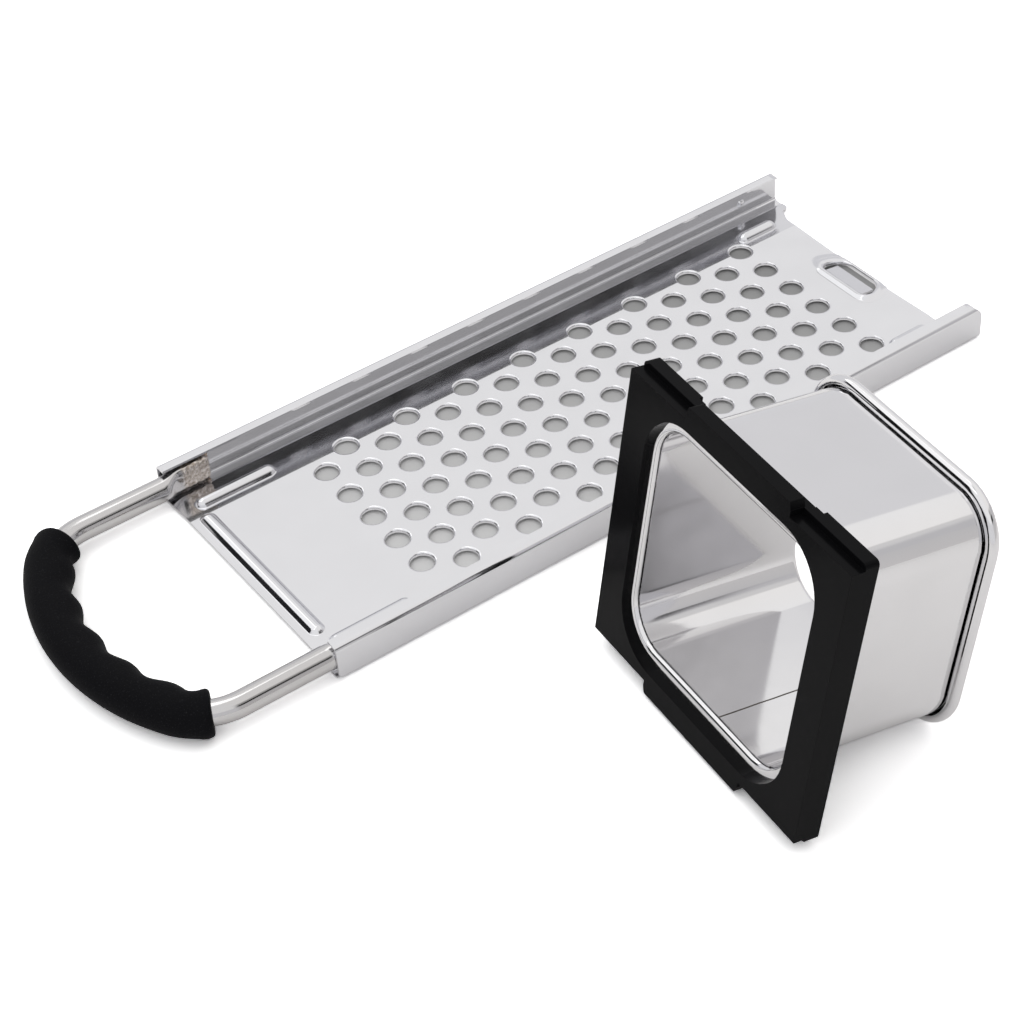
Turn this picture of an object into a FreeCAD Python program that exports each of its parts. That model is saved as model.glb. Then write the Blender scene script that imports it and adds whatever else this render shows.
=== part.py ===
"""Spaetzle maker: a perforated steel board with folded rails and a looped handle,
and the hopper that runs in its rails, taken off and set down beside it.

Millimetres. X runs along the rails, away from the handle; Y runs across the board; Z is up.
The origin is the middle of the slideway: halfway along the rails, on the plate's top face.
"""
import FreeCAD, Part
import math
import os

from FreeCAD import Placement, Rotation, Vector

# ---------------------------------------------------------------- board, one pressed sheet
SHEET = 0.8                 # thickness of the board's sheet
BOARD_WIDTH = 105.0         # over the outside of both rails
RAIL_LENGTH = 252.5
RAIL_HEIGHT = 12.0          # underside of the plate to the top of the lips
LIP_WIDTH = 5.0             # outside of a rail to the free edge of its lip
LIP_BEND = 1.1              # inside radius between wall and lip
FOOT_BEND = 0.9             # inside radius of the bends at the foot of each wall
FOOT_DROP = 1.0             # feet below the underside of the plate
FOOT_FLAT = 1.2             # flat strip on which each rail stands
FOOT_SLOPE = 35.0           # rise from the foot to the plate
RAIL_END_ROUND = 4.5        # rounded top corner of each rail at its far end
RAIL_HEEL_ROUND = 3.0       # rounded bottom corner of each rail at the handle end

# far edge of the plate
EDGE_SETBACK = 6.0          # plate edge behind the ends of the rails
EAR_SETBACK = 3.8           # ears beside the rails, behind the ends of the rails
EAR_WIDTH = 10.5
EDGE_HOLLOW = 0.8           # how far the edge curves in at its middle
EAR_ROUND = 1.4

# holes
HOLE_PITCH = 13.5           # between neighbouring holes of the hexagonal pattern
HOLE_DIAMETER = 7.7
HOLE_ROWS = 11              # rows along the board
HOLES_PER_ROW = 8
HOLE_FIELD_X = 7.6          # middle of the hole field from the middle of the rails

# pressed beads
BEAD_HEIGHT = 1.5           # every bead stands this high over the plate
CROSS_BEAD_WIDTH = 4.2
CROSS_BEAD_LENGTH = 67.0
CROSS_BEAD_SETBACK = 5.3    # middle of the cross bead from the plate's handle edge
STOP_BEAD_WIDTH = 3.5
STOP_BEAD_Y = 38.3
NEAR_STOP_LENGTH = 29.7
NEAR_STOP_SETBACK = 4.9     # start of the near stop beads from the plate's handle edge
FAR_STOP_LENGTH = 16.7
FAR_STOP_SETBACK = 10.8     # end of the far stop beads from the ends of the rails

# bumps pressed into the walls, which centre the hopper as it enters
BUMP_RADIUS = 2.0
BUMP_REACH = 0.9
BUMP_SETBACK = 16.0
BUMP_Z = 3.9

# hook slot with its turned-down tongue
SLOT_DEPTH = 8.6            # along X
SLOT_WIDTH = 24.8
SLOT_Y = -2.3               # middle of the slot, from the middle of the board
SLOT_SETBACK = 15.75        # flat side of the slot from the ends of the rails
SLOT_ROUND_NEAR = 2.4
SLOT_ROUND_FAR = 6.2
SLOT_TAPER = 3.4            # how far each far corner of the slot steps in
SLOT_RIM = 1.2              # radius of the rounded rim
TONGUE_WIDTH = 18.0
TONGUE_ANGLE = 8.0
TONGUE_BEND = 0.8
TONGUE_CLEARANCE = 0.2      # under its tip, to the table

# ---------------------------------------------------------------- handle
TUBE_DIAMETER = 8.0
TUBE_WALL = 0.8
TUBE_Z = 4.7                # tube axis over the plate
LEG_END = 16.0              # how far each leg reaches into its rail
LEG_FLAT = 4.8              # thickness of the flattened leg end
LEG_FLAT_HEIGHT = 9.0
LEG_FLAT_LENGTH = 11.0
LEG_TAPER_LENGTH = 6.5      # from the flattened end to the round tube
LEG_OUT = 29.2              # straight leg outside the rail
CORNER_RADIUS = 20.0
HANDLE_REACH = 56.65        # tube axis at the middle of the handle, from the rail ends

# grip sleeve
GRIP_TABLE_GAP = 0.0        # the sleeve rests on the table with the rails
GRIP_BACK = 7.6             # sleeve behind the tube axis, on the palm side
GRIP_FRONT = 7.2            # mean sleeve in front of the tube axis, on the finger side
FINGER_DEPTH = 0.9          # half the height of the finger waves
FINGER_PITCH = 18.0
GRIP_LIP = 0.5              # how far the rounded lips stand out at both ends
GRIP_LIP_LENGTH = 4.0
GRIP_END_ANGLE = 64.0       # where the sleeve ends on the corner bends
GRIP_SECTIONS = 37

# weld between each leg and its rail
WELD_RADIUS = 1.6
WELD_LENGTH = 9.0
WELD_SINK = 1.0             # axis of the bead from the inside of the wall

# ---------------------------------------------------------------- hopper frame, seated pose
RUNNER_CLEARANCE = 2.5      # beside each runner, to the inside of the rail wall
FRAME_HEIGHT = 8.4          # at the four corners, under the lips
FRAME_MID_HEIGHT = 7.2      # end bars between the corners
FRAME_MID_LENGTH = 98.6     # over the middle of the end bars
FRAME_CORNER_LENGTH = 94.2
FRAME_MID_WIDTH = 45.0      # flat of the longer middle part
FRAME_STEP_RUN = 5.0        # sloped flanks beside it
FRAME_MID_INSET = 6.5       # how far the lower middle part reaches in from the end
MOUTH_LENGTH = 83.6         # opening in the frame's underside, along X
MOUTH_WIDTH = 77.4
MOUTH_ROUND = 17.0
NOTCH_DEPTH = 1.9           # notches that pass over the stop beads
NOTCH_HEIGHT = 4.1
NOTCH_INNER_Y = 27.5
NOTCH_OUTER_Y = 46.8
FRAME_EDGE_ROUND = 0.9
MOUTH_EDGE_ROUND = 0.7

# ---------------------------------------------------------------- hopper cup
CUP_SHEET = 0.7
FLANGE_Z = 2.4              # underside of the cup's flange over the frame's underside
FLANGE_WIDTH = 5.2
CUP_BASE_LENGTH = 74.6
CUP_BASE_WIDTH = 73.6
CUP_BASE_ROUND = 9.0
CUP_DRAFT = 0.2             # how far each side leans out from the flange to the rim
CUP_HEIGHT = 60.3           # frame underside to the top of the rolled rim
CURL_RADIUS = 1.9           # outside radius of the rolled rim
CURL_TURN = 285.0
FLANGE_BEND = 1.4           # flare between the flange and the wall

# ---------------------------------------------------------------- the hopper set down
SET_DOWN_X = -56.4          # middle of the frame's lower edge on the table
SET_DOWN_Y = -134.9
SET_DOWN_YAW = -5.0

# ---------------------------------------------------------------- worked out from the above
RAIL_END = RAIL_LENGTH / 2
PLATE_UNDERSIDE = -SHEET
LIP_TOP = RAIL_HEIGHT - SHEET
WALL_INSIDE = BOARD_WIDTH / 2 - SHEET
LEG_Y = WALL_INSIDE - TUBE_DIAMETER / 2
TABLE_Z = PLATE_UNDERSIDE - FOOT_DROP
GRIP_HALF_HEIGHT = TUBE_Z - TABLE_Z - GRIP_TABLE_GAP
SLOT_X = RAIL_END - SLOT_SETBACK
FRAME_WIDTH = 2 * (WALL_INSIDE - RUNNER_CLEARANCE)
CUP_TOP_LENGTH = CUP_BASE_LENGTH + 2 * CUP_DRAFT
CUP_TOP_WIDTH = CUP_BASE_WIDTH + 2 * CUP_DRAFT
CUP_TOP_ROUND = CUP_BASE_ROUND + CUP_DRAFT


# ---------------------------------------------------------------- helpers
def flat(u, v):
    """A point of a plan outline."""
    return Vector(u, v, 0)


def across(u, v):
    """A point of a section across the board: u along Y, v up."""
    return Vector(0, u, v)


def along(u, v):
    """A point of a section along the board: u along X, v up."""
    return Vector(u, 0, v)


def outline(corners, place=flat):
    """A closed wire through (u, v, radius) corners, each rounded by its radius."""
    edges = []
    ends = []
    count = len(corners)
    for i, (u, v, radius) in enumerate(corners):
        here = Vector(u, v, 0)
        before = Vector(*corners[i - 1][:2], 0) - here
        after = Vector(*corners[(i + 1) % count][:2], 0) - here
        before.normalize()
        after.normalize()
        if radius == 0:
            ends.append((here, here, None))
            continue
        half = before.getAngle(after) / 2
        cut = radius / math.tan(half)
        bisector = before + after
        bisector.normalize()
        middle = here + bisector * (radius / math.sin(half) - radius)
        ends.append((here + before * cut, here + after * cut, middle))
    for i, (first, last, middle) in enumerate(ends):
        if middle is not None:
            edges.append(Part.Arc(place(first.x, first.y), place(middle.x, middle.y),
                                  place(last.x, last.y)).toShape())
        following = ends[(i + 1) % count][0]
        if (following - last).Length > 1e-6:
            edges.append(Part.LineSegment(place(last.x, last.y),
                                          place(following.x, following.y)).toShape())
    return Part.Wire(edges)


def rounded_rectangle(length, width, radius, z=0.0):
    """A rounded rectangle centred on the Z axis."""
    x, y = length / 2, width / 2
    wire = outline([(-x, -y, radius), (x, -y, radius), (x, y, radius), (-x, y, radius)])
    return wire.translated(Vector(0, 0, z))


def slab(wire, z, height):
    """The solid over a flat wire, from z up."""
    moved = wire.translated(Vector(0, 0, z - wire.BoundBox.ZMin))
    return Part.Face(moved).extrude(Vector(0, 0, height))


def bent_strip(moves, sheet, place, start=(0.0, 0.0), heading=0.0, round_ends=False):
    """The section of a bent sheet, walked along its middle line.

    A move is ("run", length) or ("bend", inside radius, degrees), where left is positive.
    """
    half = sheet / 2
    u, v = start
    angle = math.radians(heading)
    left, right = [], []
    left_points, right_points = [], []

    def side(pu, pv, turn, offset):
        return (pu - math.sin(turn) * offset, pv + math.cos(turn) * offset)

    def spot(point):
        return place(*point)

    left_points.append(side(u, v, angle, half))
    right_points.append(side(u, v, angle, -half))
    for move in moves:
        if move[0] == "run":
            u += math.cos(angle) * move[1]
            v += math.sin(angle) * move[1]
            new_left = side(u, v, angle, half)
            new_right = side(u, v, angle, -half)
            left.append(Part.LineSegment(spot(left_points[-1]), spot(new_left)).toShape())
            right.append(Part.LineSegment(spot(right_points[-1]), spot(new_right)).toShape())
        else:
            radius, turn = move[1] + half, math.radians(move[2])
            sign = 1 if turn > 0 else -1
            centre = side(u, v, angle, sign * radius)

            def swing(by, offset):
                a = angle + by
                su = centre[0] + math.sin(a) * sign * radius
                sv = centre[1] - math.cos(a) * sign * radius
                return side(su, sv, a, offset)

            new_left, new_right = swing(turn, half), swing(turn, -half)
            left.append(Part.Arc(spot(left_points[-1]), spot(swing(turn / 2, half)),
                                 spot(new_left)).toShape())
            right.append(Part.Arc(spot(right_points[-1]), spot(swing(turn / 2, -half)),
                                  spot(new_right)).toShape())
            u = centre[0] + math.sin(angle + turn) * sign * radius
            v = centre[1] - math.cos(angle + turn) * sign * radius
            angle += turn
        left_points.append(new_left)
        right_points.append(new_right)

    def cap(first, last, outward):
        if not round_ends:
            return Part.LineSegment(spot(first), spot(last)).toShape()
        middle = ((first[0] + last[0]) / 2 + math.cos(outward) * half,
                  (first[1] + last[1]) / 2 + math.sin(outward) * half)
        return Part.Arc(spot(first), spot(middle), spot(last)).toShape()

    end = cap(left_points[-1], right_points[-1], angle)
    begin = cap(right_points[0], left_points[0], math.radians(heading) + math.pi)
    return Part.Wire(Part.__sortEdges__(left + [end] + right + [begin]))


def bead_bar(start, end, radius):
    """A round bar with ball ends that reaches from start to end."""
    axis = end - start
    length = axis.Length - 2 * radius
    profile = Part.Wire([
        Part.Arc(Vector(-radius, 0, 0), Vector(-radius * math.sqrt(0.5), radius * math.sqrt(0.5), 0),
                 Vector(0, radius, 0)).toShape(),
        Part.LineSegment(Vector(0, radius, 0), Vector(length, radius, 0)).toShape(),
        Part.Arc(Vector(length, radius, 0),
                 Vector(length + radius * math.sqrt(0.5), radius * math.sqrt(0.5), 0),
                 Vector(length + radius, 0, 0)).toShape(),
        Part.LineSegment(Vector(length + radius, 0, 0), Vector(-radius, 0, 0)).toShape(),
    ])
    bar = Part.Face(profile).revolve(Vector(0, 0, 0), Vector(1, 0, 0), 360)
    bar = Part.Solid(bar) if bar.ShapeType == "Shell" else bar
    axis.normalize()
    bar.Placement = Placement(start + axis * radius, Rotation(Vector(1, 0, 0), axis))
    return bar


def press_bead(board, start, end, width):
    """A half-round bead pressed up in the plate, hollow below."""
    half = width / 2
    radius = (half ** 2 + BEAD_HEIGHT ** 2) / (2 * BEAD_HEIGHT)
    axis_z = BEAD_HEIGHT - radius
    along_bead = end - start
    along_bead.normalize()
    spare = radius - half
    first = start - along_bead * spare + Vector(0, 0, axis_z)
    last = end + along_bead * spare + Vector(0, 0, axis_z)
    crown = bead_bar(first, last, radius)
    hollow = bead_bar(first + along_bead * SHEET, last - along_bead * SHEET, radius - SHEET)
    reach = 4 * radius
    box = crown.BoundBox
    above = Part.makeBox(box.XLength + reach, box.YLength + reach, reach,
                         Vector(box.XMin - reach / 2, box.YMin - reach / 2, PLATE_UNDERSIDE))
    return board.fuse(crown.common(above)).cut(hollow)


# ---------------------------------------------------------------- the board
def rail_section():
    """Lip, wall, plate, wall and lip in one strip of sheet."""
    lip = LIP_WIDTH - SHEET - LIP_BEND - SHEET / 2
    wall = RAIL_HEIGHT + FOOT_DROP - 2 * SHEET - LIP_BEND - FOOT_BEND
    slope = math.radians(FOOT_SLOPE)
    middle = FOOT_BEND + SHEET / 2
    rise = (FOOT_DROP - 2 * middle * (1 - math.cos(slope))) / math.sin(slope)
    foot_reach = FOOT_FLAT + 2 * middle * math.sin(slope) + rise * math.cos(slope)
    plate = BOARD_WIDTH - 2 * (SHEET + FOOT_BEND + foot_reach)
    foot_in = [("run", wall), ("bend", FOOT_BEND, 90), ("run", FOOT_FLAT),
               ("bend", FOOT_BEND, FOOT_SLOPE), ("run", rise), ("bend", FOOT_BEND, -FOOT_SLOPE)]
    foot_out = foot_in[::-1]
    lip_in = [("run", lip), ("bend", LIP_BEND, 90)]
    moves = lip_in + foot_in + [("run", plate)] + foot_out + lip_in[::-1]
    lip_start = (-(BOARD_WIDTH / 2 - SHEET - LIP_BEND - lip), LIP_TOP - SHEET / 2)
    return bent_strip(moves, SHEET, across, lip_start, 180, round_ends=True)


def far_edge_cutter():
    """What is cut away beyond the plate's far edge, between the rails."""
    side = WALL_INSIDE - FOOT_BEND
    ear_x = RAIL_END - EAR_SETBACK
    edge_x = RAIL_END - EDGE_SETBACK
    ear_y = side - EAR_WIDTH
    beyond = RAIL_END + SHEET
    corners = [(beyond, -side, 0), (ear_x, -side, EAR_ROUND), (ear_x, -ear_y, EAR_ROUND),
               (edge_x, -ear_y + EDGE_SETBACK - EAR_SETBACK, EAR_ROUND),
               (edge_x, ear_y - EDGE_SETBACK + EAR_SETBACK, EAR_ROUND),
               (ear_x, ear_y, EAR_ROUND), (ear_x, side, EAR_ROUND), (beyond, side, 0)]
    straight = slab(outline(corners), -2 * SHEET, 4 * SHEET)
    half_chord = ear_y - EAR_ROUND - EDGE_SETBACK + EAR_SETBACK
    radius = (half_chord ** 2 + EDGE_HOLLOW ** 2) / (2 * EDGE_HOLLOW)
    disc = Part.makeCylinder(radius, 4 * SHEET,
                             Vector(edge_x - EDGE_HOLLOW + radius, 0, -2 * SHEET))
    strip = Part.makeBox(EDGE_HOLLOW * 2, 2 * half_chord, 4 * SHEET,
                         Vector(edge_x - EDGE_HOLLOW, -half_chord, -2 * SHEET))
    return straight.fuse(disc.common(strip))


def rail_end_cutters():
    """Rounds the rails' far top corners and their bottom corners at the handle."""
    width = BOARD_WIDTH + 2
    top = RAIL_END_ROUND
    block = Part.makeBox(top + 1, width, top + 1,
                         Vector(RAIL_END - top, -width / 2, LIP_TOP - top))
    barrel = Part.makeCylinder(top, width, Vector(RAIL_END - top, -width / 2, LIP_TOP - top),
                               Vector(0, 1, 0))
    cutters = [block.cut(barrel)]
    heel = RAIL_HEEL_ROUND
    depth = SHEET + FOOT_BEND
    for y in (-BOARD_WIDTH / 2 - 1, WALL_INSIDE - FOOT_BEND):
        corner = Vector(-RAIL_END, y, TABLE_Z)
        block = Part.makeBox(heel + 1, depth + 1, heel + 1, corner - Vector(1, 0, 1))
        barrel = Part.makeCylinder(heel, depth + 1, corner + Vector(heel, 0, heel),
                                   Vector(0, 1, 0))
        cutters.append(block.cut(barrel))
    return cutters


def hole_cutters():
    """One punch per hole of the hexagonal pattern."""
    along_row = HOLE_PITCH * math.sqrt(3)
    between_rows = HOLE_PITCH / 2
    radius = HOLE_DIAMETER / 2
    cutters = []
    for row in range(HOLE_ROWS):
        y = (row - (HOLE_ROWS - 1) / 2) * between_rows
        shift = along_row / 4 if row % 2 == 0 else -along_row / 4
        for n in range(HOLES_PER_ROW):
            x = HOLE_FIELD_X + shift + (n - (HOLES_PER_ROW - 1) / 2) * along_row
            cutters.append(Part.makeCylinder(radius, 3 * SHEET, Vector(x, y, -2 * SHEET)))
    return cutters


def slot_wire(grow=0.0):
    """The D-shaped outline of the hook slot, its flat side towards the handle."""
    near = SLOT_X - grow
    far = SLOT_X + SLOT_DEPTH + grow
    low = SLOT_Y - SLOT_WIDTH / 2 - grow
    high = SLOT_Y + SLOT_WIDTH / 2 + grow
    return outline([(near, low, SLOT_ROUND_NEAR + grow), (far, low + SLOT_TAPER, SLOT_ROUND_FAR + grow),
                    (far, high - SLOT_TAPER, SLOT_ROUND_FAR + grow), (near, high, SLOT_ROUND_NEAR + grow)])


def hook_tongue():
    """The tongue left at the slot's flat side, turned down to the table."""
    turn = math.radians(TONGUE_ANGLE)
    middle = TONGUE_BEND + SHEET / 2
    drop_in_bend = middle * (1 - math.cos(turn))
    tip_drop = FOOT_DROP - TONGUE_CLEARANCE - drop_in_bend + SHEET / 2 * (1 - math.cos(turn))
    moves = [("run", SLOT_RIM), ("bend", TONGUE_BEND, -TONGUE_ANGLE), ("run", tip_drop / math.sin(turn))]
    start = (SLOT_X - SLOT_RIM, -SHEET / 2)
    section = bent_strip(moves, SHEET, along, start, 0)
    tongue = Part.Face(section).extrude(Vector(0, TONGUE_WIDTH, 0))
    return tongue.translated(Vector(0, SLOT_Y - TONGUE_WIDTH / 2, 0))


def make_board():
    section = Part.Face(rail_section())
    board = section.extrude(Vector(RAIL_LENGTH, 0, 0)).translated(Vector(-RAIL_END, 0, 0))
    board = board.cut([far_edge_cutter()] + rail_end_cutters())

    cross_x = CROSS_BEAD_SETBACK - RAIL_END
    board = press_bead(board, Vector(cross_x, -CROSS_BEAD_LENGTH / 2, 0),
                       Vector(cross_x, CROSS_BEAD_LENGTH / 2, 0), CROSS_BEAD_WIDTH)
    near_x = NEAR_STOP_SETBACK - RAIL_END
    far_x = RAIL_END - FAR_STOP_SETBACK
    for y in (-STOP_BEAD_Y, STOP_BEAD_Y):
        board = press_bead(board, Vector(near_x, y, 0), Vector(near_x + NEAR_STOP_LENGTH, y, 0),
                           STOP_BEAD_WIDTH)
        board = press_bead(board, Vector(far_x - FAR_STOP_LENGTH, y, 0), Vector(far_x, y, 0),
                           STOP_BEAD_WIDTH)

    for side in (-1, 1):
        centre = Vector(RAIL_END - BUMP_SETBACK, side * (WALL_INSIDE + BUMP_RADIUS - BUMP_REACH), BUMP_Z)
        ball = Part.makeSphere(BUMP_RADIUS, centre)
        keep = Part.makeBox(4 * BUMP_RADIUS, 4 * BUMP_RADIUS, 4 * BUMP_RADIUS,
                            centre - Vector(1, 1, 1) * (2 * BUMP_RADIUS))
        keep.translate(Vector(0, side * (BOARD_WIDTH / 2 - side * centre.y - 2 * BUMP_RADIUS), 0))
        board = board.fuse(ball.common(keep)).cut(Part.makeSphere(BUMP_RADIUS - SHEET, centre))

    rim_path = slot_wire(SLOT_RIM / 2)
    rim_z = -SHEET / 2 + SLOT_RIM / 3
    rim_path.translate(Vector(0, 0, rim_z))
    start = rim_path.OrderedEdges[0]
    circle = Part.Wire(Part.makeCircle(SLOT_RIM, start.valueAt(start.FirstParameter),
                                       start.tangentAt(start.FirstParameter)))
    rim = rim_path.makePipeShell([circle], True, True)
    board = board.fuse(rim).cut(slab(slot_wire(), -3 * SHEET, 8 * SHEET))
    board = board.fuse(hook_tongue())
    board = board.cut(hole_cutters())
    return board.removeSplitter()


# ---------------------------------------------------------------- the handle
def handle_geometry():
    """Centres of the corner and palm arcs, and the angle at which they meet."""
    corner_x = -RAIL_END - LEG_OUT
    corner_y = LEG_Y - CORNER_RADIUS
    palm_x = -RAIL_END - HANDLE_REACH
    across_x = corner_x - palm_x
    palm_radius = (across_x ** 2 + corner_y ** 2 - CORNER_RADIUS ** 2) / (2 * (across_x - CORNER_RADIUS))
    meet = math.atan2(corner_y, palm_x + palm_radius - corner_x)
    return corner_x, corner_y, palm_x, palm_radius, meet


def taper_end_x():
    """Where the round tube ends and the flattening of its leg begins."""
    return LEG_END - RAIL_END - LEG_FLAT_LENGTH - LEG_TAPER_LENGTH


def bent_rod(radius):
    """A round rod along the whole handle, from leg to leg."""
    corner_x, corner_y, palm_x, palm_radius, meet = handle_geometry()
    up = Vector(0, 0, 1)
    start = taper_end_x()
    disc = Part.Face(Part.Wire(Part.makeCircle(radius, Vector(0, 0, 0), Vector(0, 1, 0))))
    disc.translate(Vector(palm_x, 0, TUBE_Z))
    centre = Vector(palm_x + palm_radius, 0, TUBE_Z)
    disc.rotate(centre, up, math.degrees(meet))
    runs = [disc.revolve(centre, up, -2 * math.degrees(meet))]
    for side in (-1, 1):
        runs.append(Part.makeCylinder(radius, start - corner_x, Vector(corner_x, side * LEG_Y, TUBE_Z),
                                      Vector(1, 0, 0)))
        disc = Part.Face(Part.Wire(Part.makeCircle(radius, Vector(corner_x, side * LEG_Y, TUBE_Z),
                                                   Vector(1, 0, 0))))
        runs.append(disc.revolve(Vector(corner_x, side * corner_y, TUBE_Z), up,
                                 side * (90 - math.degrees(meet))))
    return runs[0].fuse(runs[1:]).removeSplitter()


def round_section(x, y, radius):
    """The round tube's outline across the X axis, in the four arcs that the press reshapes."""
    corner = radius * math.sqrt(0.5)
    corners = [(-corner, -corner), (-corner, corner), (corner, corner), (corner, -corner)]
    crowns = [(-radius, 0), (0, radius), (radius, 0), (0, -radius)]
    arcs = []
    for n in range(4):
        ends = [Vector(x, y + corners[k][0], TUBE_Z + corners[k][1]) for k in (n, (n + 1) % 4)]
        crown = Vector(x, y + crowns[n][0], TUBE_Z + crowns[n][1])
        arcs.append(Part.Arc(ends[0], crown, ends[1]).toShape())
    return Part.Wire(arcs)


def pressed_section(x, y, half_y, half_z):
    """The pressed tube's outline: two flat sides joined by half rounds above and below."""
    flat_z = half_z - half_y
    low_in, high_in = Vector(x, y - half_y, TUBE_Z - flat_z), Vector(x, y - half_y, TUBE_Z + flat_z)
    low_out, high_out = Vector(x, y + half_y, TUBE_Z - flat_z), Vector(x, y + half_y, TUBE_Z + flat_z)
    return Part.Wire([
        Part.LineSegment(low_in, high_in).toShape(),
        Part.Arc(high_in, Vector(x, y, TUBE_Z + half_z), high_out).toShape(),
        Part.LineSegment(high_out, low_out).toShape(),
        Part.Arc(low_out, Vector(x, y, TUBE_Z - half_z), low_in).toShape(),
    ])


def flattened_leg(side):
    """The end of a leg, pressed to lie flat against its rail."""
    start = taper_end_x()
    flat_start = start + LEG_TAPER_LENGTH
    pressed = pressed_section(flat_start, side * (WALL_INSIDE - LEG_FLAT / 2), LEG_FLAT / 2,
                              LEG_FLAT_HEIGHT / 2)
    taper = Part.makeLoft([round_section(start, side * LEG_Y, TUBE_DIAMETER / 2), pressed], True, True)
    flattened = Part.Face(pressed).extrude(Vector(LEG_FLAT_LENGTH, 0, 0))
    return taper.fuse(flattened)


def make_tube():
    legs = [flattened_leg(side) for side in (-1, 1)]
    outside = bent_rod(TUBE_DIAMETER / 2).fuse(legs)
    return outside.cut(bent_rod(TUBE_DIAMETER / 2 - TUBE_WALL))


def grip_frame(share):
    """Axis point and forward direction at a share of the sleeve's length, from -1 to 1."""
    corner_x, corner_y, palm_x, palm_radius, meet = handle_geometry()
    end_angle = math.radians(GRIP_END_ANGLE)
    palm_length = palm_radius * meet
    corner_length = CORNER_RADIUS * (end_angle - meet)
    distance = abs(share) * (palm_length + corner_length)
    side = 1 if share >= 0 else -1
    if distance <= palm_length:
        angle = distance / palm_radius
        centre = Vector(palm_x + palm_radius, 0, TUBE_Z)
        radius = palm_radius
    else:
        angle = meet + (distance - palm_length) / CORNER_RADIUS
        centre = Vector(corner_x, side * corner_y, TUBE_Z)
        radius = CORNER_RADIUS
    forward = Vector(math.cos(angle), -side * math.sin(angle), 0)
    return centre - forward * radius, forward, palm_length + corner_length


def make_grip():
    """A soft sleeve with finger waves on its inner side and a lip at each end."""
    sections = []
    for n in range(GRIP_SECTIONS):
        share = 2 * n / (GRIP_SECTIONS - 1) - 1
        share = math.copysign(1 - (1 - abs(share)) ** 1.15, share)
        point, forward, half_length = grip_frame(share)
        from_end = (1 - abs(share)) * half_length
        lip = GRIP_LIP * math.sin(math.pi * min(from_end / GRIP_LIP_LENGTH, 1.0))
        fade = min(from_end / (2 * GRIP_LIP_LENGTH), 1.0)
        wave = FINGER_DEPTH * fade * math.cos(2 * math.pi * share * half_length / FINGER_PITCH)
        front = GRIP_FRONT + wave + lip
        back = GRIP_BACK + lip
        stretch = FreeCAD.Matrix()
        stretch.scale((front + back) / 2, 1, GRIP_HALF_HEIGHT)
        ring = Part.makeCircle(1, Vector(0, 0, 0), Vector(0, -1, 0)).transformGeometry(stretch)
        ring.rotate(Vector(0, 0, 0), Vector(0, 0, 1), math.degrees(math.atan2(forward.y, forward.x)))
        ring.translate(point + forward * ((front - back) / 2))
        sections.append(Part.Wire(ring))
    sleeve = Part.makeLoft(sections, True, True)
    return sleeve.cut(bent_rod(TUBE_DIAMETER / 2))


def make_weld(side, tube, board):
    """The weld bead over the leg's end, against the rail."""
    end_x = LEG_END - RAIL_END
    y = side * (WALL_INSIDE - WELD_SINK)
    bead = bead_bar(Vector(end_x, y, TUBE_Z - WELD_LENGTH / 2), Vector(end_x, y, TUBE_Z + WELD_LENGTH / 2),
                    WELD_RADIUS)
    return bead.cut([tube, board])


# ---------------------------------------------------------------- the hopper, seated
def frame_outline():
    """Plan of the frame: long middles on the end bars, shorter corners, straight runners."""
    long_x = FRAME_MID_LENGTH / 2
    short_x = FRAME_CORNER_LENGTH / 2
    side = FRAME_WIDTH / 2
    flat_y = FRAME_MID_WIDTH / 2
    foot_y = flat_y + FRAME_STEP_RUN
    blend = 1.5
    quarter = [(short_x, -side, blend), (short_x, -foot_y, blend), (long_x, -flat_y, blend),
               (long_x, flat_y, blend), (short_x, foot_y, blend), (short_x, side, blend)]
    opposite = [(-x, -y, r) for x, y, r in quarter]
    return outline(quarter + opposite)


def flared_block(low_reach, low_z, high_reach, high_z):
    """A block that widens upwards: flat sides, and a cone round each corner's upright centre line."""
    centre_x = CUP_BASE_LENGTH / 2 - CUP_BASE_ROUND
    centre_y = CUP_BASE_WIDTH / 2 - CUP_BASE_ROUND
    pieces = []
    for place, wide, long in ((along, centre_x, centre_y), (across, centre_y, centre_x)):
        corners = [place(-wide - low_reach, low_z), place(wide + low_reach, low_z),
                   place(wide + high_reach, high_z), place(-wide - high_reach, high_z)]
        section = Part.Face(Part.makePolygon(corners + corners[:1]))
        push = Vector(0, long, 0) if place is along else Vector(long, 0, 0)
        pieces.append(section.translated(-push).extrude(push * 2))
    for x in (-centre_x, centre_x):
        for y in (-centre_y, centre_y):
            pieces.append(Part.makeCone(low_reach, high_reach, high_z - low_z, Vector(x, y, low_z)))
    return pieces[0].fuse(pieces[1:]).removeSplitter()


def cup_walls():
    """The cup's outside and inside, each a short flare at the flange and a tall wall above it."""
    top_z = CUP_HEIGHT - CURL_RADIUS
    shapes = []
    for inset, base_z in ((0.0, FLANGE_Z + CUP_SHEET), (CUP_SHEET, FLANGE_Z)):
        flared_reach = CUP_BASE_ROUND - inset + FLANGE_BEND - CUP_SHEET / 2
        foot_z = base_z + FLANGE_BEND - inset / 2
        flare = flared_block(flared_reach, base_z, CUP_BASE_ROUND - inset, foot_z)
        wall = flared_block(CUP_BASE_ROUND - inset, foot_z, CUP_TOP_ROUND - inset, top_z)
        shapes.append(flare.fuse(wall))
    return shapes


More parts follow.
